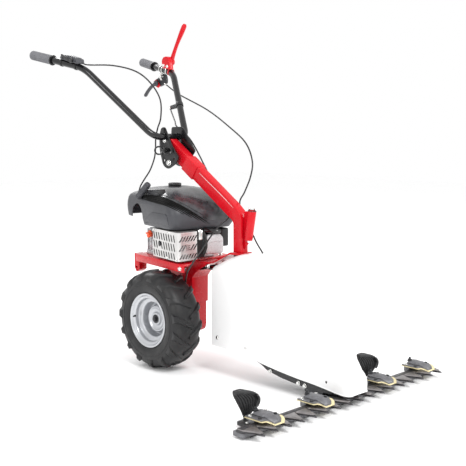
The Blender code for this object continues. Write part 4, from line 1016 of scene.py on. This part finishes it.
def make_drive_lever():
    body = "handlebar_body"
    hang = rounded([(0.41, 1.005), (0.38, 0.998), (0.3745, 0.98), (0.376, 0.964), (0.418, 0.9525),
        (0.447, 0.964), (0.443, 0.979), (0.416, 0.988)], 0.007, 5)
    make("drive_mount", prism(hang, 0.213, 0.225), DARK, body, bevel=0.0014, segments=3,
        node="drive_bracket")
    along = (HAND_END - HAND_BEND).normalized()
    for i, t in enumerate((0.062, 0.08)):
        clamp_ring("drive_clamp_%d" % (i + 1), HAND_BEND + along * (t + 0.01), along, 0.0142,
            0.0062, CHROME)
    hook = [(0.2175, 0.396, 1.006), (0.206, 0.395, 1.002), (0.203, 0.396, 0.99),
        (0.21, 0.398, 0.98), (0.213, 0.4, 0.978)]
    make("drive_clamp_strap", swept(smooth(hook, 5), 0.0045, 16, squeeze=0.5), CHROME, body)
    cam = rounded([(0.429, 0.981), (0.445, 0.974), (0.444, 0.96), (0.417, 0.948), (0.406, 0.956),
        (0.418, 0.97)], 0.004, 5)
    make("drive_cam", prism(cam, 0.209, 0.2132), RED, body, bevel=0.001)
    bolts("drive_screw_", ((0.213, 0.39, 0.99), (0.213, 0.418, 0.959)), (-1, 0, 0), 0.0062, 0.0028,
        body=body)
    ferrule = turned([(0, 0), (0.004, 0), (0.004, 0.012), (0.003, 0.0135), (0, 0.0135)],
        (0.205, 0.372, 0.9625), (-0.19, -0.93, -0.36), 24)
    make("cable_ferrule_far", ferrule, CHROME, body, bevel=0.0004)
    at = Vector((0.205, 0.425, 0.966))
    disc = turned([(0, -0.004), (0.0098, -0.004), (0.011, -0.0028), (0.011, 0.003), (0.0098, 0.004),
        (0, 0.004)], at, (1, 0, 0), 32)
    path = smooth([at, (0.205, 0.444, 0.958), (0.205, 0.46, 0.948), (0.205, 0.477, 0.934),
        (0.205, 0.4915, 0.9185)], 5)
    radii = [0.0078 - 0.0006 * math.sin(math.pi * k / (len(path) - 1)) for k in range(len(path))]
    radii[-1], radii[-2] = 0.0052, 0.0074
    blade = swept(path, radii, 20, squeeze=0.85, up=(1, 0, 0))
    make("drive_blade", [disc, blade], SHELL, "drive_hand_lever", bevel=0.0006, crease=45,
        node="drive_lever")

    foot = arm_point(0.52, 1)
    down = (arm_point(1, 1) - arm_point(0, 1)).normalized()
    clamp_ring("cable_clip_ring", foot, down, 0.0134, 0.018, PLASTIC)
    end = Vector(CABLES["drive_cable"][0])
    drop = (end - foot).normalized()
    clip = [[foot + down * s * 0.013 + Vector((0, t * 0.004, 0)) for s, t in ((-1, -1), (1, -1),
        (1, 1), (-1, 1))], [end - drop * 0.006 + Vector((0, t * 0.0036, s * 0.0075))
        for s, t in ((1, -1), (-1, -1), (-1, 1), (1, 1))]]
    make("cable_clip", loft(clip), PLASTIC, body, bevel=0.0012)
    lead = Vector(CABLES["drive_cable"][1]) - end
    ferrule = turned([(0, -0.006), (0.004, -0.006), (0.004, 0.01), (0.003, 0.012), (0, 0.012)], end,
        lead, 24)
    make("drive_ferrule", ferrule, CHROME, body, bevel=0.0004)


def make_adjuster():
    body = "machine"
    near = rounded([(0.1147, 0.796), (0.096, 0.8), (0.083, 0.778), (0.064, 0.742), (0.024, 0.696),
        (0.037, 0.676), (0.08, 0.654), (0.106, 0.668), (0.124, 0.72), (0.124, 0.77)],
        [0.009, 0.009, 0.012, 0.02, 0.008, 0.012, 0.016, 0.012, 0.016, 0.01], 6)
    far = rounded([(0.122, 0.799), (0.064, 0.8), (0.0, 0.718), (0.03, 0.685), (0.08, 0.662),
        (0.106, 0.67), (0.124, 0.72), (0.124, 0.78)], [0.008, 0.012, 0.006, 0.01, 0.012, 0.012,
        0.012, 0.012], 6)
    bore = rod(TUBE + 0.0006, -0.05, 0.05, TILT, (1, 0, 0), 36)
    slots = []
    for y, z in ((0.1, 0.685), (0.047, 0.69)):
        slots.append(rod(0.0042, -0.05, 0.05, (0, y, z), (1, 0, 0), 20))
    make("quadrant_near", prism(near, -0.0293, -0.0243), BLACK, body, bevel=0.0009,
        cuts=[[bore], slots], node="adjuster_plate_near", slot="dark_steel")
    make("quadrant_far", prism(far, 0.0243, 0.0293), BLACK, body, bevel=0.0009,
        cuts=[[bore], slots], node="adjuster_plate_far", slot="dark_steel")
    rings = [Vector((-0.045, 0.109, 0.719)), Vector((-0.045, 0.062, 0.72))]
    middle = (rings[0] + rings[1]) / 2 + Vector((0.0157, 0, 0))
    knob = turned([(0, -0.014), (0.005, -0.014), (0.0078, -0.0125), (0.008, -0.0055), (0.0062, 0),
        (0, 0)], middle, (1, 0, 0), 32)
    link = swept([rings[0] + Vector((0.006, -0.01, 0)), middle - Vector((0.008, 0, 0)),
        rings[1] + Vector((0.006, 0.01, 0))], 0.0022, 12)
    make("tilt_latch", [knob, link], GLOSSY, body, node="tilt_pin", slot="dark_steel")
    for i, at in enumerate(rings):
        make("adjuster_ring_%d" % (i + 1), hoop(at, (-0.66, -0.75, 0), 0.013, 0.003, 36, 10),
            GLOSSY, body, slot="dark_steel")
    bolt("adjuster_bolt_big", (-0.0293, 0.0735, 0.6768), (-1, 0, 0), 0.015, 0.007, flange=0.0108)
    bolt("adjuster_bolt_oblong", (-0.0293, 0.0963, 0.752), (-1, 0, 0), 0.01, 0.005, flange=0.0074)
    bolt("adjuster_bolt_far_1", (0.0293, 0.056, 0.708), (1, 0, 0), 0.015, 0.007, flange=0.0108)
    bolt("adjuster_bolt_far_2", (0.0293, 0.1, 0.7), (1, 0, 0), 0.01, 0.0055, flange=0.0076)


CABLES = {"throttle_cable": [(-0.215, 0.308, 1.016), (-0.212, 0.275, 1.008),
    (-0.19, 0.1682, 1.0017), (-0.16, 0.088, 0.9814), (-0.13, 0.0489, 0.9455),
    (-0.09, 0.0448, 0.8911), (-0.06, 0.078, 0.8312), (-0.048, 0.11, 0.7939), (-0.046, 0.123, 0.76),
    (-0.045, 0.126, 0.7273), (-0.048, 0.129, 0.6928), (-0.064, 0.133, 0.6521),
    (-0.0758, 0.15, 0.6202), (-0.0822, 0.165, 0.5951), (-0.0784, 0.18, 0.5693),
    (-0.074, 0.185, 0.556)], "cutter_cable": [(0.205, 0.366, 0.96), (0.185, 0.2664, 0.9192),
    (0.15, 0.0733, 0.8587), (0.11, -0.0849, 0.7956), (0.085, -0.1832, 0.7457),
    (0.065, -0.2324, 0.6886), (0.05, -0.2391, 0.6396), (0.035, -0.2273, 0.5902),
    (0.025, -0.215, 0.555), (0.024, -0.235, 0.5), (0.022, -0.275, 0.46), (0.008, -0.308, 0.435),
    (0.0, -0.343, 0.406)], "drive_cable": [(0.15, 0.2774, 0.8688), (0.08, 0.1689, 0.8202),
    (0.04, 0.11, 0.799), (0.036, 0.03, 0.75), (0.03, -0.07, 0.63), (0.026, -0.135, 0.545),
    (0.0064, -0.185, 0.5097), (-0.0279, -0.168, 0.4759), (-0.0613, -0.16, 0.4381),
    (-0.091, -0.158, 0.4042), (-0.1238, -0.16, 0.3764), (-0.14, -0.158, 0.3566),
    (-0.145, -0.148, 0.336), (-0.092, -0.08, 0.2945), (-0.083, -0.068, 0.262),
    (-0.074, -0.052, 0.23), (-0.05, -0.04, 0.215)]}


def make_cables():
    for node, points in CABLES.items():
        path = smooth(points, 8)
        tube = make(node.replace("cable", "bowden"), swept(path, 0.0025, 14), PLASTIC, None,
            node=node, crease=60)
        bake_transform(tube)


# Hood, arm and cutter bar

HOOD_STATIONS = [(-0.17, 0.06, 0.092, 0.353, 0.03), (-0.24, 0.062, 0.091, 0.385, 0.032),
    (-0.3, 0.063, 0.09, 0.402, 0.035), (-0.345, 0.063, 0.085, 0.398, 0.04),
    (-0.4, 0.062, 0.074, 0.355, 0.042), (-0.47, 0.06, 0.064, 0.276, 0.042),
    (-0.54, 0.058, 0.056, 0.208, 0.04), (-0.6, 0.058, 0.052, 0.16, 0.036),
    (-0.65, 0.058, 0.047, 0.132, 0.034), (-0.685, 0.056, 0.042, 0.114, 0.032),
    (-0.71, 0.051, 0.038, 0.099, 0.028), (-0.724, 0.043, 0.037, 0.084, 0.022),
    (-0.731, 0.032, 0.038, 0.07, 0.012)]
HOOD_SKIN = 0.003


def hood_line(station, inset):
    """Open section of the hood: up one side, over the crowned top and down the other."""
    y, half, low, high, corner = station
    half, high = half - inset, high - inset
    corner = max(0.004, min(corner, half * 0.8, (high - low) * 0.7) - inset)
    out = [(-half, y, low), (-half, y, low + (high - corner - low) * 0.5)]
    for k in range(9):
        a = math.pi / 2 * k / 8
        out.append((-half + corner * (1 - math.cos(a)), y, high - corner * (1 - math.sin(a))))
    out.append((0, y, high))
    return out + [(-p[0], p[1], p[2]) for p in reversed(out[:-1])]


def make_hood():
    dense = smooth(HOOD_STATIONS, 6)
    outer = [hood_line(tuple(s), 0.0) for s in dense]
    inner = [hood_line(tuple(s), HOOD_SKIN) for s in dense]
    inner[-1] = [(x, y + HOOD_SKIN, z) for x, y, z in inner[-1]]
    count = len(outer[0])
    verts = [p for ring in outer + inner for p in ring]
    rows = [list(range(i * count, (i + 1) * count)) for i in range(2 * len(dense))]
    half = len(dense)
    faces = []
    for block_rows in (rows[:half], rows[half:]):
        for a, b in zip(block_rows, block_rows[1:]):
            faces += [(a[i], a[i + 1], b[i + 1], b[i]) for i in range(count - 1)]
    for i in range(half - 1):
        for edge in (0, count - 1):
            faces.append((rows[i][edge], rows[i + 1][edge], rows[half + i + 1][edge],
                rows[half + i][edge]))
    for i in range(count - 1):
        faces.append((rows[0][i], rows[0][i + 1], rows[half][i + 1], rows[half][i]))
    faces.append(tuple(rows[half - 1]))
    faces.append(tuple(rows[2 * half - 1]))
    last, inside = rows[half - 1], rows[2 * half - 1]
    faces.append((last[0], last[-1], inside[-1], inside[0]))
    notch = prism(rectangle(-0.0305, -0.27, 0.0305, -0.14), 0.3, 0.43, "Z")
    make("hood_shell", (verts, faces), WHITE, cuts=[[notch]], crease=48, node="hood")
    for side in (-1, 1):
        rolls = [(side * (s[1] - 0.0005), s[0], s[2] + 0.0008) for s in dense]
        make("hood_rim_" + side_name(side), swept(rolls, 0.0018, 10), WHITE)
    for side in (-1, 1):
        for i, (y, z) in enumerate(((-0.2, 0.12), (-0.33, 0.11))):
            bolt("hood_screw_%d%s" % (i + 1, side_name(side)[0]), (side * 0.062, y, z),
                (side, 0, 0), 0.009, 0.0028, flange=0.007)
    latch = rounded(rectangle(-0.656, 0.064, -0.642, 0.072), 0.002)
    make("hood_latch", prism(latch, -0.058, -0.0545), PLASTIC, bevel=0.0006)


def make_arm():
    strip = rounded([(-0.265, 0.356), (-0.327, 0.356), (-0.327, 0.11), (-0.37, 0.086),
        (-0.43, 0.076), (-0.52, 0.064), (-0.6, 0.057), (-0.69, 0.056), (-0.706, 0.05),
        (-0.704, 0.037), (-0.684, 0.033), (-0.63, 0.031), (-0.55, 0.032), (-0.47, 0.04),
        (-0.41, 0.052), (-0.388, 0.064), (-0.29, 0.098), (-0.265, 0.115)], 0.008, 4)
    for label, low in (("near", -0.05), ("far", 0.0455)):
        make("arm_side_" + label, prism(strip, low, low + 0.0045), BLACK, bevel=0.0009,
            node="arm_plate_" + label, slot="dark_steel")
    refined("arm_head", DARK, 0.0012, 2)
    refined("bar_carrier", DARK, 0.0014, 2)
    for side in (-1, 1):
        spots = ((-0.424, 0.052), (-0.539, 0.039), (-0.5645, 0.036), (-0.683, 0.043))
        for i, (y, z) in enumerate(spots):
            bolt("arm_bolt_%d%s" % (i + 1, side_name(side)[0]), (side * 0.05, y, z), (side, 0, 0),
                0.01, 0.0046, flange=0.0072)


def tooth_x(index):
    return (index - (TOOTH_COUNT - 1) / 2) * TOOTH_PITCH


def finger():
    """One forged finger: a pointed guard with a raised spine, under the blade."""
    stations = [(-0.665, 0.0256, 0.0183, 0.025), (-0.684, 0.0256, 0.0183, 0.025),
        (-0.69, 0.0205, 0.0183, 0.025), (-0.696, 0.015, 0.0183, 0.025),
        (-0.708, 0.0108, 0.018, 0.025), (-0.723, 0.0078, 0.0178, 0.0248),
        (-0.736, 0.0048, 0.0183, 0.0242), (-0.7435, 0.0018, 0.0195, 0.0225)]
    sections = []
    for y, half, low, high in stations:
        flat, top = (1.0, 1.0) if y > -0.7 else (0.55, 0.5)
        side_z = low + (high - low) * 0.35
        sections.append([(-half, y, side_z), (-half * flat, y, low), (half * flat, y, low),
            (half, y, side_z), (half * top, y, high), (-half * top, y, high)])
    return loft(sections)


def blade():
    """One triangular knife section with bevelled cutting edges."""
    low, high = 0.0254, 0.0283
    base = [(-0.0248, -0.667), (0.0248, -0.667), (0.0248, -0.69), (0.0205, -0.6965),
        (0.0052, -0.7335), (-0.0052, -0.7335), (-0.0205, -0.6965), (-0.0248, -0.69)]
    top = [(-0.0248, -0.667), (0.0248, -0.667), (0.024, -0.6896), (0.0168, -0.695), (0.003, -0.73),
        (-0.003, -0.73), (-0.0168, -0.695), (-0.024, -0.6896)]
    return loft([level(base, low), level(base, low + 0.0008), level(top, high)])


def shift(shape, x):
    verts, faces = shape
    return [(v[0] + x, v[1], v[2]) for v in verts], faces


def make_bar():
    half = TOOTH_COUNT * TOOTH_PITCH / 2
    ends = rounded(rectangle(-half, -0.692, half, -0.65), 0.006, 5)
    soles = [loft([level(rectangle(x - 0.024, -0.686, x + 0.024, -0.656), 0.0),
        level(rectangle(x - 0.03, -0.69, x + 0.03, -0.653), 0.0065)]) for x in (-0.38, 0.0, 0.38)]
    block_rear = block((-0.045, -0.66, 0.0062), (0.045, -0.57, 0.0178))
    make("bar_beam", prism(ends, 0.006, 0.018, "Z"), CLAMP, bevel=0.0012, node="back_bar",
        slot="dark_steel")
    make("bar_soles", soles + [block_rear], DARK, bevel=0.0008)
    fingers = [shift(finger(), tooth_x(i)) for i in range(TOOTH_COUNT)]
    make("bar_fingers", fingers, FINGER, bevel=0.0005, segments=1, node="finger_comb")
    rivets, sections = [], []
    for i in range(TOOTH_COUNT):
        sections.append(shift(blade(), tooth_x(i)))
        for side in (-1, 1):
            rivets.append(turned([(0, 0.028), (0.0034, 0.028), (0.003, 0.029), (0, 0.0293)],
                (tooth_x(i) + side * 0.012, -0.676, 0), (0, 0, 1), 14))
    back = block((-half + 0.0012, -0.684, 0.0282), (half - 0.0012, -0.6695, 0.0292))
    low = block((-0.0188, -0.685, 0.027), (0.0188, -0.645, 0.034))
    fork = [block((-0.0188, -0.685, 0.033), (-0.011, -0.645, 0.053)), block((0.011, -0.685, 0.033),
        (0.0188, -0.645, 0.053))]
    make("knife_sections", sections, BLADE, "knife_body", crease=20, node="knife")
    make("knife_rivets", rivets, STEEL, "knife_body")
    make("knife_head", [low] + fork, DARK, "knife_body", bevel=0.001, slot="bare_steel")
    make("knife_back", back, FINGER, "knife_body", bevel=0.0003)


PRESSERS = (-0.34, -0.133, 0.164, 0.373)
SHIELDS = (-0.35, 0.185)


def make_presser(index, x):
    """Knife clamp: steel plate, rounded front tongue, gold spring strip, nuts and a handle."""
    name = "clamp_%d_" % index

    def sheet(rows, thick, drop):
        """Plate with a stepped front, from (y, low x, high x, z) rows."""
        return loft([[(x + a, y, z - drop), (x + b, y, z - drop), (x + b, y, z - drop + thick),
            (x + a, y, z - drop + thick)] for y, a, b, z in rows])

    wear = [(-0.642, -0.042, 0.04, 0.04), (-0.7, -0.042, 0.04, 0.04), (-0.704, -0.04, 0.04, 0.0396),
        (-0.707, -0.026, 0.0395, 0.0386), (-0.715, -0.018, 0.037, 0.035),
        (-0.725, -0.012, 0.025, 0.0305)]
    upper = [(y * 0.9955 if y < -0.66 else y, a + 0.003, b - (0.003 if y > -0.702 else 0.01), z)
        for y, a, b, z in wear]
    tongue = []
    for y, half, low, high in ((-0.66, 0.015, 0.041, 0.044), (-0.672, 0.017, 0.041, 0.05),
            (-0.69, 0.017, 0.04, 0.0508), (-0.704, 0.016, 0.038, 0.0475),
            (-0.714, 0.014, 0.035, 0.0425), (-0.7205, 0.01, 0.033, 0.0365)):
        ring = []
        for a in (2 * math.pi * k / 16 for k in range(16)):
            ca, sa = math.cos(a), math.sin(a)
            ring.append((x - 0.001 + half * math.copysign(abs(ca) ** 0.55, ca), y, (low + high) / 2
                + (high - low) / 2 * math.copysign(abs(sa) ** 0.7, sa)))
        tongue.append(ring)
    post = block((x - 0.026, -0.663, 0.0184), (x + 0.026, -0.642, 0.04))
    make(name + "body", [loft(tongue), post], CLAMP, bevel=0.0008, crease=38,
        node="presser_%d" % index)
    make(name + "wear_plate", sheet(wear, 0.0018, 0.0018), SPRING, bevel=0.0004)
    make(name + "plate", sheet(upper, 0.003, 0.0), CLAMP, bevel=0.0007)
    bridge = loft([[(x + s * w, y, z) for s, y in ((-1, -0.69), (1, -0.69), (1, -0.65),
        (-1, -0.65))] for w, z in ((0.02, 0.0438), (0.018, 0.049), (0.012, 0.052))])
    make(name + "bridge", bridge, CLAMP, bevel=0.0016, segments=3)
    bolt(name + "nut", (x - 0.008, -0.652, 0.05), (0, 0, 1), 0.0125, 0.007, flange=0.0085,
        stud=0.0036, finish=DARK)
    for i, (dx, y) in enumerate(((-0.031, -0.652), (0.031, -0.652), (-0.031, -0.688),
            (0.029, -0.688))):
        bolt(name + "screw_%d" % (i + 1), (x + dx, y, 0.0425), (0, 0, 1), 0.009, 0.0042,
            flange=0.0064, finish=CHROME if i < 2 else DARK)


SHIELD_ROWS = [(0.028, -0.012, 0.012, -0.6235, 0.0), (0.035, -0.012, 0.016, -0.6228, 0.0),
    (0.042, -0.014, 0.024, -0.622, 0.001), (0.051, -0.018, 0.034, -0.6208, 0.003),
    (0.061, -0.023, 0.042, -0.6194, 0.005), (0.071, -0.028, 0.044, -0.6178, 0.006),
    (0.08, -0.032, 0.038, -0.616, 0.006), (0.088, -0.036, 0.024, -0.6145, 0.004),
    (0.095, -0.038, 0.004, -0.613, 0.001), (0.101, -0.038, -0.016, -0.612, 0.0)]


def make_shield(index, x):
    """Swath divider: ribbed fan plate, narrow at its foot, rolled along its top and far side."""
    def spot(row, s, back=0.0):
        z, left, right, front, curl = row
        px = x + (left + right) / 2 + (right - left) / 2 * s
        return (px, front + back - curl * max(0.0, s) ** 3 + 0.002 * s * s, z)

    steps = [-1 + 2 * k / 10 for k in range(11)]
    sheet = loft([[spot(row, s) for s in steps] + [spot(row, s, 0.0045) for s in reversed(steps)]
        for row in SHIELD_ROWS])
    ribs = []
    for k in range(7):
        s = -0.86 + 0.27 * k
        ribs.append(swept([spot(row, s, -0.0004) for row in SHIELD_ROWS[2:]], 0.0021, 8))
    for s in (-1, 1):
        ribs.append(swept([spot(row, s, 0.0022) for row in SHIELD_ROWS[1:]], 0.0034, 12))
    crown = [spot(SHIELD_ROWS[k], 1, 0.0022) for k in (5, 6, 7, 8, 9)]
    crown.append(spot(SHIELD_ROWS[9], -1, 0.0022))
    ribs.append(swept(smooth(crown, 4), 0.004, 12))
    curl = [spot(SHIELD_ROWS[k], 0.9, -0.004) for k in (3, 4, 5, 6)]
    ribs.append(swept(smooth(curl, 4), 0.0052, 14))
    knob = block((x - 0.041, -0.62, 0.094), (x - 0.017, -0.606, 0.104))
    holes = [rod(0.003, -0.64, -0.6, (x + dx, 0, 0.06), (0, 1, 0), 18) for dx in (-0.006, 0.011)]
    make("divider_%d_sheet" % index, sheet, PLASTIC, bevel=0.0009, cuts=[holes], crease=50,
        node="swath_plate_%d" % index)
    make("divider_%d_ribs" % index, ribs, PLASTIC)
    make("divider_%d_box" % index, knob, PLASTIC, bevel=0.0022, segments=3)
    stay = block((x - 0.012, -0.619, 0.015), (x + 0.012, -0.615, 0.042))
    make("divider_%d_stay" % index, stay, CHROME, bevel=0.001)
    foot = rounded(rectangle(x - 0.025, -0.6497, x + 0.025, -0.605), 0.006, 4)
    make("divider_%d_foot" % index, prism(foot, 0.0066, 0.017, "Z"), PLASTIC, bevel=0.0012)
    for s in (-1, 1):
        bolt("divider_%d_bolt%s" % (index, "n" if s < 0 else "f"), (x + s * 0.013, -0.636, 0.017),
            (0, 0, 1), 0.009, 0.0045, flange=0.0064)


# Camera, light and floor

EYE = Vector((-1.9455, -2.1089, 0.7988))
AIM = Vector((-0.0864, -0.2096, 0.4731))
FOCAL_MM = 66.8
SENSOR_MM = 36
FLOOR_HALF = 9
LIGHTS = {"key": ((-0.6, -2.6, 3.2), (1.2, 0.9), 70), "left": ((-3.2, -0.4, 1.9), (0.7, 1.6), 26),
    "right": ((2.6, -2.2, 1.6), (0.6, 1.5), 30), "back": ((0.8, 3.0, 2.6), (1.6, 0.8), 34)}
LIT_POINT = Vector((0, 0, 0.45))


def studio():
    lens = bpy.data.cameras.new("camera")
    lens.lens = FOCAL_MM
    lens.sensor_width = SENSOR_MM
    camera = bpy.data.objects.new("camera", lens)
    bpy.context.scene.collection.objects.link(camera)
    camera.location = EYE
    camera.rotation_euler = (AIM - EYE).to_track_quat("-Z", "Y").to_euler()
    bpy.context.scene.camera = camera

    sheet = level(rectangle(-FLOOR_HALF, -FLOOR_HALF, FLOOR_HALF, FLOOR_HALF), 0)
    finish = surface("studio_floor", (0.985, 0.985, 0.985), 0.8, mottle=0.002)
    floor = raw("floor", [(sheet, [(0, 1, 2, 3)])], finish, Matrix.Identity(4))

    world = bpy.data.worlds.new("studio")
    world.use_nodes = True
    world.node_tree.nodes["Background"].inputs["Color"].default_value = (1, 1, 1, 1)
    world.node_tree.nodes["Background"].inputs["Strength"].default_value = 1.0
    bpy.context.scene.world = world

    bpy.context.scene.view_settings.view_transform = "Standard"
    for name, (at, size, power) in LIGHTS.items():
        light = bpy.data.lights.new(name, "AREA")
        light.shape = "RECTANGLE"
        light.size, light.size_y = size
        light.energy = power
        holder = bpy.data.objects.new(name, light)
        holder.location = at
        holder.rotation_euler = (LIT_POINT - Vector(at)).to_track_quat("-Z", "Y").to_euler()
        bpy.context.scene.collection.objects.link(holder)


studio()
dress_cad()
make_wheel()
make_frame()
make_column()
make_shroud()
make_starter()
make_caps()
make_guard()
make_casting()
make_drive()
make_tube()
make_grips()
make_throttle()
make_clutch()
make_drive_lever()
make_adjuster()
make_cables()
make_hood()
make_arm()
make_bar()
for number, place_x in enumerate(PRESSERS, 1):
    make_presser(number, place_x)
for number, place_x in enumerate(SHIELDS, 1):
    make_shield(number, place_x)
